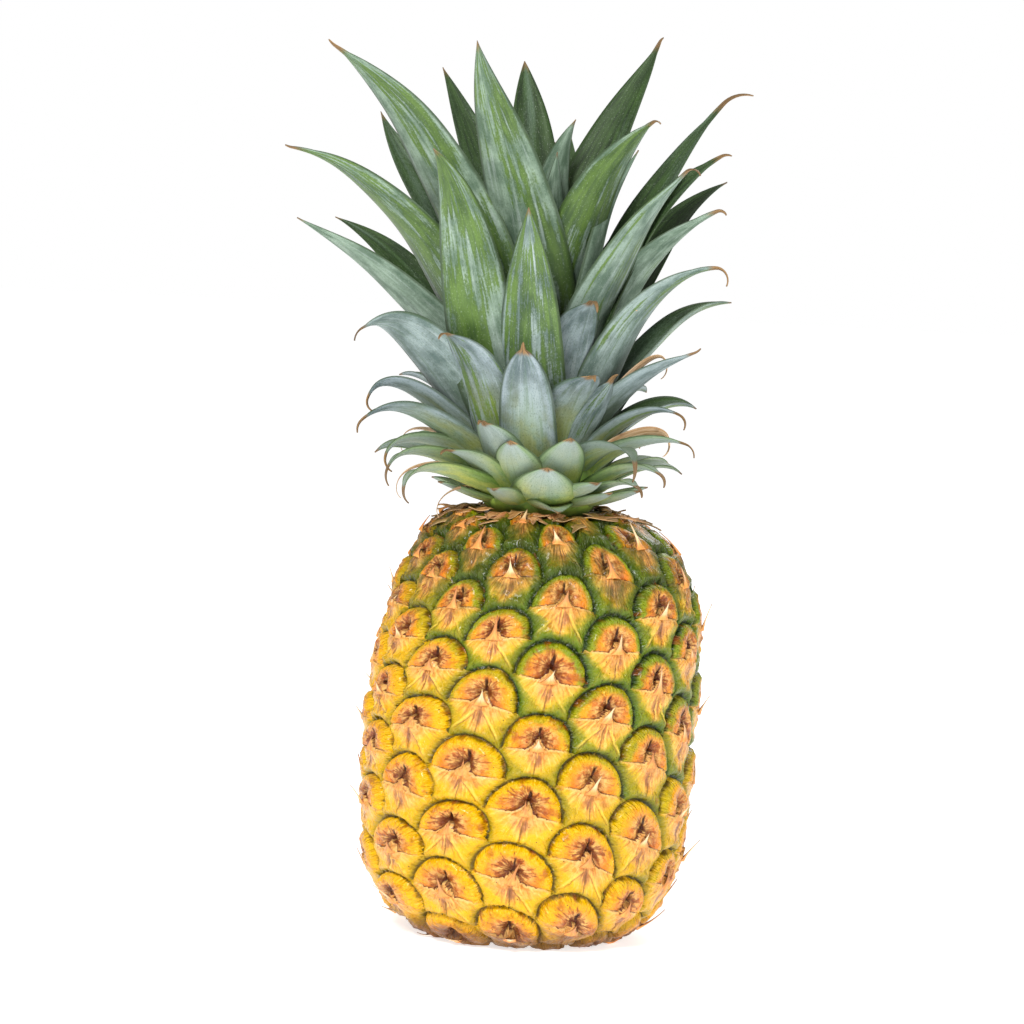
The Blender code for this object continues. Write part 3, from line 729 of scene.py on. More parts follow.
def skin_faces(balls):
    """Triangles that join the points as their directions' convex hull does."""
    shape = bmesh.new()
    for ball in balls:
        shape.verts.new(ball)
    shape.verts.index_update()
    bmesh.ops.convex_hull(shape, input=list(shape.verts), use_existing_faces=False)
    bmesh.ops.triangulate(shape, faces=list(shape.faces))
    faces = np.array([[vertex.index for vertex in face.verts] for face in shape.faces])
    shape.free()
    a, b, c = (balls[faces[:, i]] for i in range(3))
    outward = np.einsum("ij,ij->i", np.cross(b - a, c - a), a + b + c) > 0
    faces[~outward] = faces[~outward][:, ::-1]
    return faces


def skin_corners(faces, rank, row, spots, traits):
    """Corner attributes: place in the eye and its zone, ripeness and the eye's own draws."""
    corner_rank = rank[faces]
    corner_row = row[faces]
    turns = np.round((corner_rank - corner_rank[:, :1]) / RANKS)
    corner_rank = corner_rank - turns * RANKS
    corner_row = corner_row - turns * ROWS_SHIFT
    x, y = eye_offset(corner_rank, corner_row)
    middle_x = x.mean(axis=1)
    middle_y = y.mean(axis=1)
    # Bring each face's middle near the first eye, so that the owner is one of its neighbours.
    near_rank = np.round(middle_x / RANK_SPAN)
    near_row = np.round(near_rank * 0.5 - middle_y / ROW_SPAN)
    near_x, near_y = eye_offset(near_rank, near_row)
    step_rank, step_row, on_dome = owner_of(middle_x - near_x, middle_y - near_y)
    eye_rank = near_rank + step_rank
    eye_row = near_row + step_row
    eye_x, eye_y = eye_offset(eye_rank, eye_row)
    local_x = x - eye_x[:, None]
    local_y = y - eye_y[:, None]
    turn = np.floor(eye_rank / RANKS)
    key = (eye_rank - turn * RANKS) * len(ROW_RANGE) + (eye_row - turn * ROWS_SHIFT - ROW_RANGE[0])
    known = np.isfinite(key) & (key >= 0) & (key < len(traits["seed"]))
    key = np.where(known, key, 0).astype(int)
    angle, arc = lattice_place(eye_rank, eye_row)
    ripe = np.where(known, grown_ripe(angle, arc), 0.5)
    cap = ~np.isfinite(local_x)
    local_x = np.where(cap, 0.0, local_x)
    local_y = np.where(cap, -6.0, local_y)
    zone = np.where(cap.any(axis=1), -1.0, np.where(on_dome, 1.0, 0.0))
    height = spots[faces][:, :, 2] / NECK_HEIGHT

    def packed(*values):
        """Three numbers a corner, of which some may be one a face."""
        return np.stack([v if v.ndim == 2 else np.repeat(v[:, None], 3, axis=1) for v in values], axis=2)

    return {
        "eye_spot": packed(local_x, local_y, zone),
        "eye_folds": packed(ripe, traits["left_fold"][key], traits["right_fold"][key]),
        "eye_draws": packed(traits["seed"][key], traits["brown"][key], height),
    }


def rind_material():
    """Orange domes edged with green, peach bracts with dark creases, all by the eye's own place."""
    n = Nodes("rind_look")
    true_x, true_y, zone = n.attribute("eye_spot")
    ripe, left_fold, right_fold = n.attribute("eye_folds")
    seed, brown, height = n.attribute("eye_draws")
    here = n.vector(true_x + seed * 97.0, true_y + seed * 53.0, seed * 31.0)
    cloud = n.noise(here, 0.22)
    patch = n.noise(here, 0.11, 2.0)
    fine = n.noise(here, 1.3, 4.0)
    mottle = n.noise(here, 0.55)
    drops = n.voronoi(here, 0.62)
    grain = n.noise(n.place(), 900.0)
    x = true_x + (n.noise(here, 0.6, 2.0) - 0.5) * 0.5
    y = true_y + (n.noise(here, 0.5, 2.0) - 0.5) * 0.45
    side = abs(x)

    def oval(across, up, wide, tall):
        return n.math("SQRT", (across / wide) ** 2.0 + (up / tall) ** 2.0)

    def arch(across, up):
        return oval(across, up - ARCH_MIDDLE, ARCH_WIDTH, ARCH_RISE)

    own_gap = (1.0 - arch(x, y)) * DOME_SIZE
    next_arch = n.math("MINIMUM", arch(side - RANK_SPAN, y + ROW_SPAN / 2.0), arch(x, y + ROW_SPAN))
    fan_gap = (next_arch - 1.0) * 12.1
    tip_share = n.math("MAXIMUM", 1.0 - side / TIP_WIDTH, 0.0)
    above = y - (tip_share ** 1.6 * TIP_RISE - (side / ARM_REACH) ** 4.0 * ARM_DROOP)
    green = 1.0 - n.step(0.15, 0.72, ripe + (patch - 0.5) * 0.45)
    shoulder = n.step(0.74, 0.93, height + (cloud - 0.5) * 0.15)

    # dome: green rim, yellow, orange, then a peach and brown middle, its sunken middle darkened partly by
    # painted shade, with painted highlights and a band of painted shade above the bract's edge
    rim = (own_gap + (cloud - 0.5) * 3.0) / (0.85 + green * 1.35)
    dark_edge = n.mix(green, (150, 112, 4), (34, 60, 6))
    mid_edge = n.mix(green, (244, 190, 2), (128, 146, 6))
    deep = n.step(2.0, 6.0, own_gap + (patch - 0.5) * 6.0)
    to_middle = oval(x, y - 3.8, 7.8, 6.3) + (mottle - 0.5) * 0.7
    peach = n.mix(n.step(0.36, 0.62, mottle), (200, 112, 54), (248, 198, 142))
    spokes_at = n.math("ARCTAN2", y - 4.2, x)
    spokes = n.threads((spokes_at, to_middle, seed), (2.4, 0.7, 40.0), 2.4)
    blotch = n.step(0.50, 0.12, to_middle * 0.62 + (spokes - 0.5) * 1.9)
    burn = n.step(0.50, 0.72, n.noise(here, 0.26)) * n.step(-0.2, 0.8, brown)
    pit = oval(x, y - 2.8, 4.0, 4.6) + (mottle - 0.5) * 1.6
    # painted highlight: pale glints painted on scattered spots of the domes
    painted_highlight = n.step(0.30, 0.12, drops) * n.step(0.5, 0.75, cloud)
    cleft_width = 0.42 + (cloud - 0.5) * 0.9
    cleft = n.step(1.5, 0.7, side / cleft_width) * n.step(9.6, 7.6, y)
    crease_reach = 0.34 + n.step(6.0, 1.0, side) * 0.35
    crease = n.step(1.0, 0.4, above / crease_reach) * n.step(12.5, 5.0, side)
    dome = n.layers(
        n.mix(n.step(0.1, 0.8, rim), dark_edge, mid_edge),
        (n.step(1.2, 2.4, rim), n.mix(green, (252, 184, 4), (228, 156, 8))),
        (deep * 0.85, n.mix(n.step(0.35, 0.65, cloud), (222, 108, 4), (246, 158, 22))),
        (n.step(1.05, 0.5, to_middle) * 0.9, peach),
        (blotch * n.step(-0.6, 0.7, brown) * 0.8, (128, 54, 18)),
        (burn * 0.7, (160, 66, 6)),
        # dark brown round the eye's sunken middle: partly the eye's own brown, partly painted shade in the
        # hollow
        (n.step(1.0, 0.3, pit) * n.step(-0.8, 0.6, brown) * 0.75, (92, 40, 14)),
        # painted highlight on the domes
        (painted_highlight * 0.65, (255, 230, 140)),
        (cleft * 0.95, (56, 20, 6)),
        (crease * 0.9, (84, 32, 8)),
        # painted shade: a soft brown band on the dome just above the bract's edge
        (n.step(2.6, 0.6, above) * n.step(9.0, 2.0, side) * 0.35, (130, 58, 22)),
    )

    # bract: peach star, dusky under the tip, lime towards its ends and lower rim
    star = side + y * -1.05 + (cloud - 0.5) * 9.0
    leafy = n.mix(green, (234, 178, 0), (98, 124, 4))
    lime = n.mix(n.step(0.42, 0.7, fine) * 0.5, n.mix(green, (250, 190, 0), (194, 172, 8)), leafy)
    stain = n.step(0.56, 0.66, n.noise(here, 0.19, 4.0)) * n.step(0.9, 0.1, brown)
    furrow = n.threads((n.math("ARCTAN2", x, 6.5 - y), y, seed), (13.0, 0.14, 61.0), 1.0)
    fibres = n.step(15.0, 9.0, star)
    dusk = n.step(1.1, 0.4, oval(x, y + 4.4, 2.9, 3.6)) * n.step(0.34, 0.60, furrow)
    middle_line = n.step(0.36, 0.12, side) * n.step(-1.5, -4.0, y)
    lip = n.step(-1.0, -0.35, above) * n.step(13.0, 7.0, side)
    tip_face = n.step(3.4, 1.2, side) * n.step(-1.5, 1.5, y)
    outline = n.step(-0.20, -0.04, above) * n.step(13.0, 6.0, side)
    rib_at = side - (0.8 + (-1.5 - y) * 0.77)
    is_right = n.math("GREATER_THAN", x, 0.0)
    fold = is_right * right_fold + (1.0 - is_right) * left_fold
    fold = n.step(-1.6, -4.0, y) * n.step(0.0, 0.5, fold) * n.step(-12.5, -9.0, y)
    brim = n.step(3.2, 0.8, fan_gap + (cloud - 0.5) * 2.4)
    trough = n.step(1.15, 0.25, fan_gap + (mottle - 0.5) * 1.4)
    husk = n.mix(n.step(0.4, 0.6, furrow), (214, 156, 92), (112, 76, 28))
    bract = n.layers(
        n.mix(n.step(0.36, 0.64, mottle), (222, 142, 66), (246, 180, 122)),
        (n.step(4.5, 9.5, star) * 0.5, (246, 192, 60)),
        (n.step(8.5, 12.5, star) * 0.95, lime),
        (n.step(10.5, 15.0, star) * 0.8, leafy),
        (stain * 0.45, (176, 96, 30)),
        (n.step(0.52, 0.66, furrow) * 0.6 * fibres, (176, 108, 30)),
        (n.step(0.46, 0.34, furrow) * 0.5 * fibres, (254, 220, 140)),
        (dusk * 0.75, (138, 86, 78)),
        (middle_line * 0.6, (96, 70, 16)),
        (lip * 0.8, (252, 206, 150)),
        (tip_face * 0.55, n.mix(n.step(0.4, 0.6, furrow), (206, 128, 72), (250, 200, 140))),
        (outline * 0.7, (110, 50, 12)),
        (n.step(0.8, 0.1, abs(rib_at)) * fold * 0.6, (255, 216, 110)),
        (n.step(0.5, 0.1, abs(rib_at + 0.95)) * fold * 0.5, (140, 88, 16)),
        (brim * 0.85, n.mix(green, (184, 156, 2), (74, 104, 4))),
        (trough * 0.9, n.mix(green, (100, 82, 6), (22, 42, 8))),
        (shoulder * 0.75, n.mix(n.step(5.0, 9.0, star), husk, (56, 78, 8))),
    )

    # both: olive near the neck, the brown foot, specks and fine grain
    skin = n.layers(
        n.mix(n.math("GREATER_THAN", zone, 0.5), bract, dome),
        (shoulder * n.step(0.35, 0.65, cloud) * 0.6, (52, 62, 6)),
        (n.step(-0.4, -0.6, zone), n.mix(n.step(0.35, 0.65, cloud), (150, 106, 44), (92, 58, 24))),
        (n.step(0.085, 0.015, height + (cloud - 0.5) * 0.10) * 0.85, (104, 60, 22)),
        (n.step(0.085, 0.05, n.voronoi(here, 0.30)) * 0.8, (62, 28, 8)),
        (n.step(0.45, 0.8, grain) * 0.12, (110, 60, 10)),
    )
    n.set(Specular_IOR_Level=0.30, Coat_Weight=0.14, Coat_Roughness=0.14)

    # fine relief: beads along the arches, wrinkles in the middle, furrows down the bract
    is_dome = n.step(-0.5, 0.5, zone)
    beads_at = n.math("ARCTAN2", y - ARCH_MIDDLE, x)
    beads = n.threads((beads_at, own_gap, seed), (10.0, 0.25, 20.0), 1.6, 1.0)
    beads = beads * n.step(4.0, 1.0, own_gap) * is_dome
    fan_beads = (1.0 - drops) * n.step(3.2, 1.0, fan_gap) * (1.0 - is_dome)
    wrinkles = (spokes - 0.5) * n.step(1.3, 0.4, to_middle) * is_dome
    lumps = (n.noise(here, 0.45, 2.0) - 0.5) * is_dome
    relief = beads * 1.5 + fan_beads * 1.1 + (wrinkles * 1.1 + lumps * 1.6)
    relief = relief + (1.0 - furrow) * (1.0 - is_dome) * 1.6 + fine * 0.18
    return n.finish(n.mix(1.0, skin, RIND_TINT, "MULTIPLY"), 0.24 + fine * 0.16, relief, 0.8, 0.0015)


# ---------------------------------------------------------------- bract tips

def blade_mesh(spine, side, inner, halves, channel, thickness, columns, share):
    """A closed thin blade over a spine: arrays of places, side and inner directions, half widths.

    Returns points, quads and, for each point, its place across (-1 to 1), along
    (0 at the root, 1 at the tip) and which face it is on (1 inner, 0 outer).
    """
    rows = len(spine)
    across = np.linspace(-1.0, 1.0, columns)
    bend = channel[:, None] * halves[:, None] * across[None, :] ** 2
    middle = spine[:, None, :] + side[:, None, :] * (halves[:, None] * across[None, :])[:, :, None]
    middle = middle + inner[:, None, :] * bend[:, :, None]
    thick = 0.5 * thickness[:, None] * (1.0 - 0.85 * np.abs(across[None, :]) ** 3)
    offset = inner[:, None, :] * thick[:, :, None]
    points = np.concatenate(((middle + offset).reshape(-1, 3), (middle - offset).reshape(-1, 3)))
    place = np.stack(np.broadcast_arrays(across[None, :], share[:, None]), axis=2).reshape(-1, 2)
    place = np.column_stack((np.tile(place, (2, 1)), np.repeat((1.0, 0.0), len(place))))
    faces = []
    under = rows * columns
    for row in range(rows - 1):
        left = row * columns
        right = left + columns - 1
        for a in range(left, right):
            faces.append((a, a + 1, a + columns + 1, a + columns))
            faces.append((under + a, under + a + columns, under + a + columns + 1, under + a + 1))
        faces.append((left, left + columns, under + left + columns, under + left))
        faces.append((right, under + right, under + right + columns, right + columns))
    for column in range(columns - 1):
        last = (rows - 1) * columns + column
        faces.append((column, under + column, under + column + 1, column + 1))
        faces.append((last, last + 1, under + last + 1, under + last))
    return points, np.array(faces), place


def join_blades(name, blades, material, replaced=()):
    """One piece of many blades, each given as points, faces, places and up to six numbers of its own."""
    all_points = []
    all_faces = []
    places = []
    draws = []
    start = 0
    for points, faces, place, numbers in blades:
        all_points.append(points)
        all_faces.append(faces + start)
        places.append(place[faces.ravel()])
        draws.append(np.tile((*numbers, *(0.0,) * (6 - len(numbers))), (faces.size, 1)))
        start += len(points)
    draws = np.concatenate(draws)
    corners = {
        "blade_place": np.concatenate(places),
        "blade_draws": draws[:, :3],
        "blade_wear": draws[:, 3:],
    }
    points = np.concatenate(all_points).tolist()
    faces = np.concatenate(all_faces).tolist()
    print(name + ":", len(blades), "blades,", 2 * len(faces), "triangles")
    new_piece(name, points, faces, material, replaced, corners)


def unit(vectors):
    """Rows of vectors, each made one long."""
    return vectors / np.linalg.norm(vectors, axis=1)[:, None]


def skin_blade(angle, arc, height, halves, channel, thickness, columns, share):
    """A thin blade along the fruit at heights over the barrel; halves are in millimetres."""
    spots, _ = on_fruit(angle, arc, height)
    side = np.stack([np.cos(angle), np.sin(angle), np.zeros(len(share))], axis=1)
    inner = unit(np.cross(unit(np.gradient(spots, axis=0)), side))
    channel = np.full(len(share), channel)
    return blade_mesh(spots, side, inner, halves * MM, channel, thickness, columns, share)


def make_bract_tips(material):
    """The dry star-shaped tip that rises from every bract over the middle of its eye."""
    draw = random.Random(TIP_SEED)
    blades = []
    share = np.linspace(0.0, 1.0, TIP_STEPS)
    left = 1.0 - share
    for rank in range(RANKS):
        for row in ROW_RANGE:
            long_tip = draw.random() < LONG_TIP_SHARE
            length = draw.uniform(7.0, 10.0) if long_tip else draw.uniform(5.0, 6.6)
            lean = draw.uniform(-0.22, 0.22)
            lift = draw.uniform(-0.8, 1.4) + (1.7 if long_tip else 0.2)
            pale = draw.random()
            if pale > RAISED_FROM_PALE:
                lift += RAISED_LIFT
            wander, rise = waver(np.array(float(rank)), np.array(float(row)))
            tx = lean * length * share ** 1.5 + float(wander)
            ty = -0.9 + length * share + float(rise)
            angle, arc = lattice_place(*moved_by(rank, row, tx, ty))
            margin = min(arc.min() - MERIDIAN["arc"][0], MERIDIAN["arc"][-1] - arc.max())
            if margin < 1.5 * MM:
                continue
            fade = min(1.0, margin / SKIN_FADE)
            height = 3.15 + lift * share ** 1.6 - 1.1 * share ** 2
            if long_tip:
                halves = 0.75 * left ** 0.6 + 2.7 * left ** 5
            else:
                halves = 0.35 * left ** 0.6 + 3.1 * left ** 2.6
            height = height * MM * (0.2 + 0.8 * fade)
            thickness = 0.6 * MM * (1.0 - 0.6 * share)
            points, faces, place = skin_blade(angle, arc, height, halves + 0.05, 0.38, thickness, 9, share)
            points[:, 2] = above_floor(points[:, 2])
            blades.append((points, faces, place, (pale, draw.random())))
    join_blades("bract_tips", blades, material)


def make_neck_bracts(material):
    """Ragged papery bracts that lie on the shoulder all round the neck."""
    draw = random.Random(NECK_SEED)
    blades = []
    share = np.linspace(0.0, 1.0, NECK_STEPS)
    for number in range(NECK_BRACTS):
        around = 2.0 * math.pi * (number + draw.uniform(-0.4, 0.4)) / NECK_BRACTS
        length = draw.uniform(7.0, 17.0)
        width = draw.uniform(2.5, 7.0)
        angle = around + math.radians(draw.uniform(-22.0, 22.0)) * share ** 1.5
        arc = MERIDIAN["arc"][-1] - (1.0 + draw.uniform(0.0, 7.0) + length * share) * MM
        height = 0.8 + draw.uniform(0.4, 1.6) + draw.uniform(-0.5, 3.2) * share ** 2
        height = height + 0.5 * np.sin(7.0 * share + draw.uniform(0.0, 6.0))
        ragged = 1.0 + 0.25 * np.sin(11.0 * share + 5.0 * draw.random())
        halves = 0.5 * width * (1.0 - share ** 2.2) * ragged + 0.15
        channel = draw.uniform(-0.5, 0.3)
        thickness = np.full(NECK_STEPS, 0.6 * MM)
        mesh = skin_blade(angle, arc, height * MM, halves, channel, thickness, 7, share)
        blades.append((*mesh, (draw.random(), draw.random())))
    join_blades("neck_bracts", blades, material)


def tips_material():
    """Peach at the foot like the bract, cream or rust above, with a thin brown outline."""
    n = Nodes("tip_look")
    across, along, _ = n.attribute("blade_place")
    pale, seed, _ = n.attribute("blade_draws")
    streak = n.threads((across, along, seed), (2.0, 1.5, 50.0), 2.0)
    foot = n.mix(n.step(0.35, 0.65, streak), (238, 168, 82), (224, 138, 68))
    upper = n.mix(n.step(0.25, 0.75, pale), (206, 136, 76), (250, 218, 168))
    upper = n.mix(n.step(0.45, 0.75, streak) * 0.6, upper, (170, 98, 46))
    tip = n.layers(
        n.mix(n.step(0.1, 0.5, along), foot, upper),
        (n.step(0.80, 0.97, abs(across)) * 0.6, (104, 48, 16)),
        (n.step(0.75, 1.0, along) * 0.6, (92, 50, 24)),
    )
    return n.finish(tip, 0.55, streak, 0.35, 0.0004)


def husk_material():
    """Dry bracts in tan, rust and olive, with darker ragged ends."""
    n = Nodes("husk_look")
    across, along, _ = n.attribute("blade_place")
    pale, seed, _ = n.attribute("blade_draws")
    thread = n.threads((across, along, seed), (3.0, 1.4, 33.0), 1.6)
    blotch = n.threads((across, along, seed), (1.0, 2.6, 51.0), 1.6, 4.0)
    husk = n.layers(
        n.mix(n.step(0.35, 0.65, thread), (214, 158, 104), (160, 98, 48)),
        (n.step(0.35, 0.75, pale) * 0.6, (108, 104, 40)),
        (n.step(0.52, 0.72, blotch) * 0.8, (96, 54, 26)),
        (n.step(0.75, 1.0, along) * 0.6, (84, 52, 30)),
        (n.step(0.75, 0.95, abs(across)) * 0.5, (236, 200, 150)),
    )
    return n.finish(husk, 0.62, thread, 0.4, 0.0006)


# ---------------------------------------------------------------- leaves

def stem_radius(height):
    """Radius of the crown's stem at a height above the neck, in millimetres, as in the solid."""
    for (low_radius, low), (high_radius, high) in zip(STEM_PROFILE, STEM_PROFILE[1:]):
        if height <= high:
            return low_radius + (high_radius - low_radius) * (height - low) / (high - low)
    return STEM_PROFILE[-1][0]


def back_leaves():
    """Leaves of the back half, the heart and the collar, as in the solid."""
    draw = random.Random(RANDOM_SEED)
    leaves = []

    def spread(amount):
        return draw.uniform(-amount, amount)

    for tier in BACK_TIERS:
        count, first, last, root, reach, tip, root_angle, tip_angle, width, bluntness = tier
        for place in range(count):
            azimuth = first + (last - first) * (place + 0.5 + spread(PLACE_SPREAD)) / count
            leaves.append((
                azimuth,
                root + spread(ROOT_SPREAD),
                reach * (1.0 + spread(REACH_SPREAD)),
                tip + spread(TIP_SPREAD) * (tip - TIP_LEVEL),
                root_angle + spread(ROOT_ANGLE_SPREAD),
                tip_angle + spread(TIP_ANGLE_SPREAD),
                width * (1.0 + spread(WIDTH_SPREAD)),
                bluntness,
                spread(TURN_SPREAD),
            ))
    for place in range(HEART_LEAVES):
        azimuth = FIRST_HEART_AZIMUTH + GOLDEN_ANGLE * place
        low = [value + step * place for value, step in zip(HEART_LEAF, HEART_STEP)]
        leaves.append((azimuth, *low, *HEART_LEAF[len(HEART_STEP):]))
    for place in range(COLLAR_LEAVES):
        azimuth = 360.0 * (place + spread(PLACE_SPREAD)) / COLLAR_LEAVES
        leaves.append((azimuth, *COLLAR_LEAF))
    return leaves


def leaf_spine(leaf, swing, rows):
    """Midrib of a blade: shares of its length, places in millimetres, and the level side."""
    azimuth, root, reach, tip, root_angle, tip_angle = leaf[:6]
    azimuth = math.radians(azimuth)
    outward = np.array((math.sin(azimuth), -math.cos(azimuth), 0.0))
    sideways = np.array((math.cos(azimuth), math.sin(azimuth), 0.0))
    up = np.array((0.0, 0.0, 1.0))
    start = outward * (ROOT_DEPTH * stem_radius(root)) + up * root
    end = outward * reach + up * tip + sideways * swing
    length = np.linalg.norm(end - start)

    def ahead(degrees):
        return outward * math.cos(math.radians(degrees)) + up * math.sin(math.radians(degrees))

    start_handle = start + ahead(root_angle) * (START_HANDLE * length)
    end_handle = end - ahead(tip_angle) * (END_HANDLE * length)
    share = 1.0 - (1.0 - np.linspace(0.0, 1.0, rows)) ** 1.25
    rest = 1.0 - share
    spine = (np.outer(rest ** 3, start) + np.outer(3 * share * rest ** 2, start_handle)
             + np.outer(3 * share ** 2 * rest, end_handle) + np.outer(share ** 3, end))
    return share, spine, sideways, length


def add_dry_end(share, spine, sideways, length, dry_end):
    """Run a blade's midrib on past its tip, bending evenly outwards."""
    reach, bend = dry_end
    ahead = spine[-1] - spine[-2]
    ahead = ahead / np.linalg.norm(ahead)
    outer = np.cross(sideways, ahead)
    steps = np.arange(DRY_END_STEPS)
    angles = math.radians(bend) * (steps + 0.5) / DRY_END_STEPS
    run = np.outer(np.cos(angles), ahead) + np.outer(np.sin(angles), outer)
    more = spine[-1] + np.cumsum(run * (reach / DRY_END_STEPS), axis=0)
    more_share = 1.0 + (steps + 1.0) / DRY_END_STEPS * reach / length
    return np.concatenate((share, more_share)), np.vstack((spine, more))


def make_leaf(leaf, swing, draw, dry_end, wear, thickness=LEAF_THICKNESS):
    """One channelled blade with thin edges, a slight twist and, on some, a dry hooked end."""
    root = leaf[1]
    width, bluntness, turn = leaf[6:]
    rows = int(24 + leaf[2] / 4.0 + abs(leaf[3] - root) / 3.6)
    share, spine, sideways, length = leaf_spine(leaf, swing, rows)
    last = 1.0
    if dry_end:
        share, spine = add_dry_end(share, spine, sideways, length, dry_end)
        last = share[-1]
    along = unit(np.gradient(spine, axis=0))
    level_inner = unit(np.cross(along, sideways))
    twist = np.radians(turn + draw.uniform(-8.0, 8.0) * share ** 1.5)
    side = sideways[None] * np.cos(twist)[:, None] - level_inner * np.sin(twist)[:, None]
    inner = np.cross(along, side)
    sheath = np.minimum(1.0, 0.78 + 0.9 * share)
    inside = np.clip(share, 0.0, 1.0)
    shape = sheath * (1.0 - inside ** (3.0 + 2.2 * bluntness)) ** (1.15 - 0.45 * bluntness)
    halves = 0.5 * width * shape + 0.12
    if dry_end:
        thin = 0.10 * min(width, 16.0) * np.clip((last - share) / (last - 0.9), 0.0, 1.0) ** 0.6
        halves = np.where(share > 0.8, np.maximum(halves, thin + 0.15), halves)
    wave = draw.uniform(0.0, 6.3)
    ripple = 0.5 * np.sin(share * length / 8.0 + wave) * smooth(0.1, 0.5, share) * (halves / 12.0)
    spine = spine + inner * ripple[:, None]
    channel = 0.20 + 0.22 * share * draw.uniform(0.2, 1.5)
    thick = thickness * (1.0 - 0.72 * np.clip(share, 0.0, 1.0))
    spine = spine * MM + np.array((0.0, 0.0, NECK_HEIGHT))
    columns = 7 if width < 9 else 9 if width < 16 else 13
    mesh = blade_mesh(spine, side, inner, halves * MM, channel, thick * MM, columns, share)
    return (*mesh, (draw.random(), root / ROOT_SCALE, length / LENGTH_SCALE, wear))


def make_leaves(material, dry):
    """All blades of the crown in pieces by where they grow, and the papery strips."""
    draw = random.Random(RANDOM_SEED)
    shape_draw = random.Random(LEAF_SHAPE_SEED)
    tall = []
    arching = []
    low = []
    for number, leaf in enumerate(FRONT_LEAVES):
        group = tall if leaf[1] > TALL_ROOT else arching if leaf[1] > ARCHING_ROOT else low
        live = FINER_LEAVES.get(number, leaf)
        group.append(make_leaf(live, 0.0, shape_draw, DRY_ENDS.get(number), LEAF_WEAR[number]))
    back = []
    back_measures = back_leaves()
    back_measures[-COLLAR_LEAVES] = FRONT_COLLAR_LEAF
    for leaf in back_measures:
        swing = draw.uniform(-SWING_SPREAD, SWING_SPREAD)
        back.append(make_leaf(leaf, swing, shape_draw, None, shape_draw.uniform(0.1, 0.7)))
    papery = [make_leaf(leaf, 0.0, shape_draw, PAPERY_END, PAPERY_WEAR, PAPERY_THICKNESS)
              for leaf in PAPERY_LEAVES]
    join_blades("crown_tall_leaves", tall, material, ("crown",))
    join_blades("crown_arching_leaves", arching, material)
    join_blades("crown_low_leaves", low, material)
    join_blades("crown_back_leaves", back, material)
    join_blades("crown_papery_leaves", papery, dry)


def leaf_material():
    """Green blades under a powdery grey bloom that is rubbed off in long patches."""
    n = Nodes("leaf_look")
    across, along, face = n.attribute("blade_place")
    seed, rooted, length = n.attribute("blade_draws")
    wear, _, _ = n.attribute("blade_wear")
    side = abs(across)
    blade = (across, along * (length * 10.0), seed)
    streak = n.threads(blade, (1.1, 0.22, 71.0), 1.0, 2.0)
    thread = n.threads(blade, (7.0, 0.6, 23.0), 1.0)
    vein = n.threads(blade, (26.0, 0.35, 13.0), 1.0, 2.0)
    blotch = n.threads(blade, (1.5, 1.1, 39.0), 1.2, 4.0)
    fleck = n.threads(blade, (12.0, 9.0, 7.0), 2.0, 2.0)
    powder = n.threads(blade, (5.0, 4.5, 17.0), 3.0, 4.0, 0.7)

    # outer face: pale bloom, rubbed through to mid green in long striped patches
    high = n.mix(n.step(0.32, 0.66, blotch), (86, 110, 88), (141, 163, 142))
    cool = n.mix(n.step(0.32, 0.66, blotch), (90, 106, 110), (150, 164, 171))
    bloom = n.layers(
        n.mix(n.step(0.42, 0.12, rooted), high, cool),
        (n.step(0.50, 0.70, thread) * 0.5, (84, 110, 88)),
        (n.step(0.45, 0.25, thread) * 0.3, (192, 204, 202)),
    )
    shades = thread * 0.6 + blotch * 0.4
    lime = n.mix(n.step(0.34, 0.66, shades), (34, 62, 14), (90, 120, 38))
    worn = (streak - 0.5) * 2.8
    for noise, strength in ((blotch, 1.2), (thread, 2.2), (powder, 0.8), (wear, 2.2)):
        worn += (noise - 0.5) * strength
    worn -= n.step(0.6, 1.0, side) * 0.3
    worn -= n.step(0.5, 0.15, along) * 0.35
    rub = n.step(-0.14, 0.24, worn)
    outer = n.mix(rub * 0.9, bloom, lime)

    # inner face: dark green with a thin bloom
    dark = n.mix(n.step(0.32, 0.68, shades), (26, 44, 16), (60, 86, 38))
    veil = n.step(0.48, 0.74, streak + (powder - 0.5) * 0.5) * 0.6
    inner = n.mix(veil, dark, (108, 130, 108))

    # pale foot, shade deep in the crown, the collar's powder and rim, veins, flecks and dry end
    low = n.step(0.32, 0.05, rooted)
    base = n.step(0.95, 0.15, along + (0.9 - low) * 0.55) * low
    base = base * n.step(1.2, 0.2, side + (blotch - 0.5))
    glow = n.step(1.0, 0.55, along) * n.step(0.085, 0.06, rooted)
    base = n.math("MAXIMUM", base, glow)
    collar = n.step(0.115, 0.08, rooted)
    powdered = collar * n.step(0.30, 0.70, along + (blotch - 0.5) * 0.5)
    lime_rim = n.step(0.55, 0.98, side + (blotch - 0.5) * 0.6) * collar
    dry = along + (blotch - 0.5) * 0.08 + n.step(0.25, 0.05, rooted) * 0.03
    leaf = n.layers(
        n.mix(face, outer, inner),
        (base * 0.8, n.mix(n.step(0.4, 0.6, blotch), (196, 204, 86), (136, 166, 40))),
        (n.step(0.5, 0.05, along) * n.step(0.09, 0.3, rooted) * 0.85, (20, 32, 15)),
        (powdered * 0.6, (168, 184, 176)),
        (lime_rim * 0.6, (104, 136, 40)),
        (n.step(0.50, 0.75, vein) * 0.2, (48, 72, 42)),
        (n.step(0.56, 0.68, fleck) * 0.40, (58, 82, 52)),
        (n.step(0.40, 0.28, fleck) * 0.22, (196, 210, 190)),
        (n.step(0.88, 0.965, side) * 0.75, (50, 70, 36)),
        (n.step(0.955, 1.0, dry), n.mix(n.step(0.35, 0.7, thread), (84, 66, 42), (160, 124, 80))),
    )
    n.set(Specular_IOR_Level=0.35, Sheen_Weight=0.06, Sheen_Roughness=0.5, Sheen_Tint=(210, 220, 224))
    return n.finish(leaf, 0.46 + (1.0 - rub) * 0.14, vein * 0.5 + fleck * 0.2, 0.3, 0.0005)


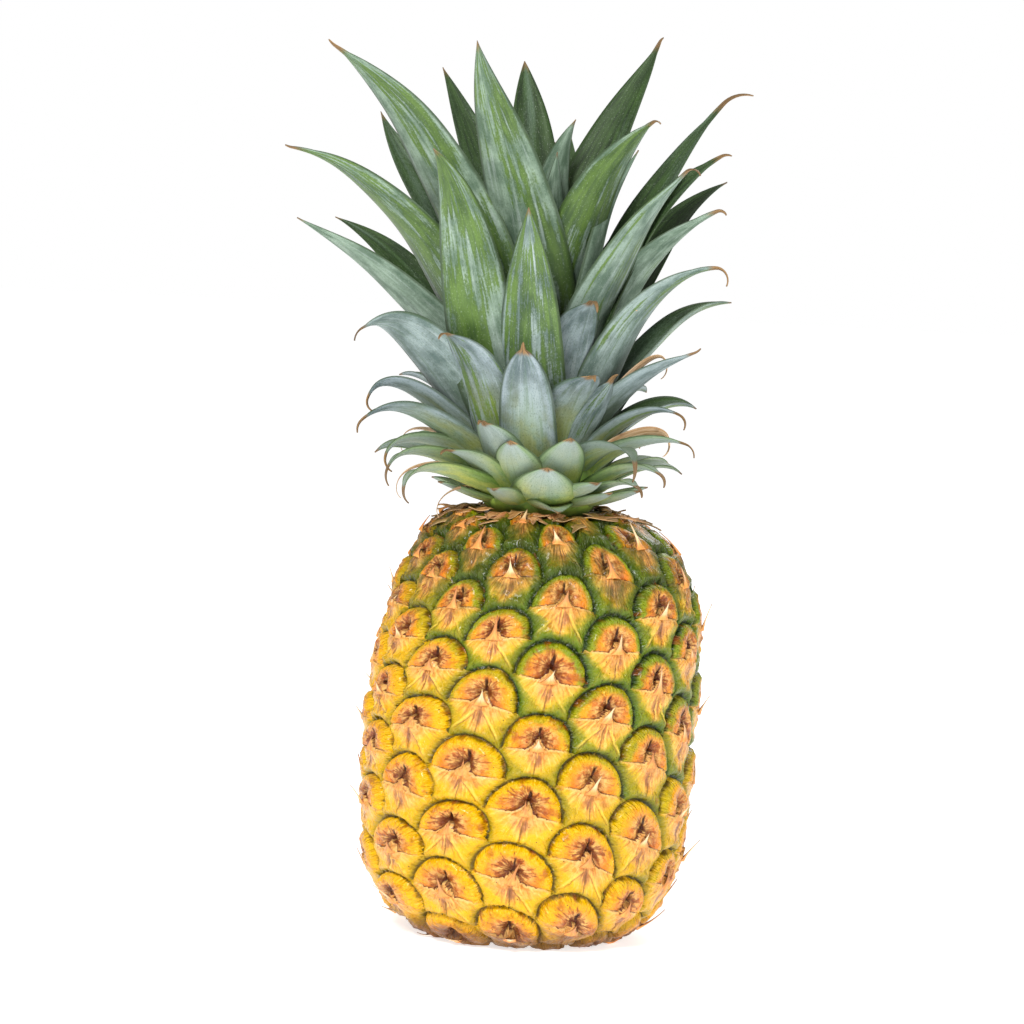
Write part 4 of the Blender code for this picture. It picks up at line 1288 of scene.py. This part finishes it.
def dry_material():
    """Tan papery strips with darker threads."""
    n = Nodes("dead_look")
    across, along, _ = n.attribute("blade_place")
    seed, _, _ = n.attribute("blade_draws")
    thread = n.threads((across, along, seed), (6.0, 2.5, 33.0), 1.5)
    blotch = n.threads((across, along, seed), (1.0, 7.0, 51.0), 1.2)
    tan = n.layers(
        n.mix(n.step(0.35, 0.65, thread), (222, 192, 156), (174, 134, 92)),
        (n.step(0.55, 0.75, blotch) * 0.7, (116, 82, 52)),
        (n.step(0.45, 0.15, along), (138, 140, 88)),
    )
    return n.finish(tan, 0.7, thread, 0.4, 0.0005)


def ring_points(radius, height, sides, ripple=0.0, phase=0.0):
    """A ring of points round the part's axis, from millimetres, with seven low waves if asked."""
    points = []
    for side in range(sides):
        angle = 2.0 * math.pi * side / sides
        z = height + ripple * (1.0 + math.sin(7 * angle + phase))
        points.append((radius * MM * math.cos(angle), radius * MM * math.sin(angle), z * MM))
    return points


def make_turned(name, rings, material, replaced=()):
    """A piece that joins rings of points, its doubled points welded and its faces outwards."""
    sides = len(rings[0])
    faces = []
    for low in range(0, (len(rings) - 1) * sides, sides):
        for side in range(sides):
            after = (side + 1) % sides
            faces.append((low + side, low + after, low + sides + after, low + sides + side))
    piece = new_piece(name, [point for ring in rings for point in ring], faces, material, replaced)
    shape = bmesh.new()
    shape.from_mesh(piece.data)
    bmesh.ops.remove_doubles(shape, verts=list(shape.verts), dist=0.01 * MM)
    bmesh.ops.recalc_face_normals(shape, faces=list(shape.faces))
    shape.to_mesh(piece.data)
    shape.free()


def make_stem(material):
    """The crown's short stem between the lowest blades."""
    profile = [(0.0, 0.3)] + [(radius, height + 0.3) for radius, height in STEM_PROFILE] + [(0.0, 71.0)]
    rings = [ring_points(radius, NECK_HEIGHT / MM + height, 64) for radius, height in profile]
    make_turned("crown_stem", rings, material)


def stem_material():
    """Pale green with darker clouds."""
    n = Nodes("stem_look")
    cloud = n.noise(n.place(), 120.0)
    green = n.mix(n.step(0.35, 0.65, cloud), (150, 176, 70), (96, 128, 56))
    return n.finish(green, 0.55, cloud, 0.3, 0.001)


# ---------------------------------------------------------------- stalk

def make_stalk(material):
    """The cut stalk: a slightly uneven fibrous face inside its socket."""
    radius = STALK_RADIUS / MM
    rings = []
    for number, (share, lift) in enumerate(CUT_FACE):
        ripple = 0.12 if 0 < number < len(CUT_FACE) - 2 else 0.0
        rings.append(ring_points(radius * share, lift, 72, ripple, 3 * number))
    for share in (1.0, 0.0):
        rings.append(ring_points(radius * share, (STALK_DEPTH - GAP) / MM, 72))
    make_turned("cut_stalk", rings, material, ("stalk",))


def stalk_material():
    """Tan pith with darker fibres."""
    n = Nodes("stalk_look")
    fibres = n.voronoi(n.place(), 1400.0)
    cloud = n.noise(n.place(), 260.0, 4.0)
    pith = n.mix(n.step(0.3, 0.7, cloud), (196, 160, 98), (128, 88, 44))
    pith = n.mix(n.step(0.35, 0.1, fibres) * 0.6, pith, (84, 52, 24))
    return n.finish(pith, 0.8, fibres + cloud, 0.5, 0.0006)


# ---------------------------------------------------------------- surroundings

def make_floor():
    """A pale floor that glows a little, so that it reaches the world's white."""
    mesh = bpy.data.meshes.new("floor")
    half = 6.0
    corners = [(-half, -half, 0), (half, -half, 0), (half, half, 0), (-half, half, 0)]
    mesh.from_pydata(corners, [], [(0, 1, 2, 3)])
    n = Nodes("floor_look")
    n.set(Base_Color=(0.9, 0.9, 0.9, 1.0), Roughness=1.0, Specular_IOR_Level=0.0,
          Emission_Color=(1.0, 1.0, 1.0, 1.0), Emission_Strength=FLOOR_GLOW)
    mesh.materials.append(n.material)
    add_object("floor", mesh)


def make_light(name, place, target_height, size, watts):
    """A round area light that looks at the part's axis."""
    light = bpy.data.lights.new(name, "AREA")
    light.shape = "DISK"
    light.size = size
    light.energy = watts
    lamp = add_object(name, light)
    lamp.location = place
    lamp.rotation_mode = "QUATERNION"
    lamp.rotation_quaternion = (Vector((0.0, 0.0, target_height)) - Vector(place)).to_track_quat("-Z", "Y")


def make_camera():
    """The camera looks slightly down along +Y, rolled so that the crown leans to the right."""
    flat_right = Vector((1.0, 0.0, 0.0))
    flat_up = Vector((0.0, math.sin(CAMERA_ELEVATION), math.cos(CAMERA_ELEVATION)))
    ahead = Vector((0.0, math.cos(CAMERA_ELEVATION), -math.sin(CAMERA_ELEVATION)))
    right = flat_right * math.cos(CAMERA_ROLL) + flat_up * math.sin(CAMERA_ROLL)
    up = -flat_right * math.sin(CAMERA_ROLL) + flat_up * math.cos(CAMERA_ROLL)
    lens = bpy.data.cameras.new("camera")
    lens.lens = CAMERA_LENS
    lens.sensor_width = 36.0
    lens.clip_end = 50.0
    camera = add_object("camera", lens)
    place = right * CAMERA_SHIFT[0] + up * CAMERA_SHIFT[1] - ahead * CAMERA_DISTANCE
    turn = Matrix((right, up, -ahead)).transposed().to_4x4()
    camera.matrix_world = Matrix.Translation(place) @ turn
    bpy.context.scene.camera = camera


def make_world():
    """A white studio: seen as plain white, and lighting everything softly."""
    world = bpy.data.worlds.new("studio")
    world.use_nodes = True
    tree = world.node_tree
    background = tree.nodes["Background"]
    background.inputs["Color"].default_value = (1.0, 1.0, 1.0, 1.0)
    seen = tree.nodes.new("ShaderNodeLightPath")
    level = tree.nodes.new("ShaderNodeMapRange")
    level.inputs["To Min"].default_value = WORLD_LIGHT
    level.inputs["To Max"].default_value = 1.0
    tree.links.new(seen.outputs["Is Camera Ray"], level.inputs["Value"])
    tree.links.new(level.outputs["Result"], background.inputs["Strength"])
    bpy.context.scene.world = world


def main():
    make_fruit(rind_material())
    make_bract_tips(tips_material())
    make_neck_bracts(husk_material())
    make_leaves(leaf_material(), dry_material())
    make_stem(stem_material())
    make_stalk(stalk_material())
    make_floor()
    make_world()
    make_light("key", (-0.42, -1.38, 1.1), 0.15, 0.42, 24.5)
    make_light("fill", (1.2, -0.9, 0.5), 0.15, 1.0, 5.0)
    make_light("rim", (0.5, 1.2, 1.0), 0.2, 0.8, 8.0)
    make_camera()
    bpy.context.scene.view_settings.view_transform = "Standard"


main()
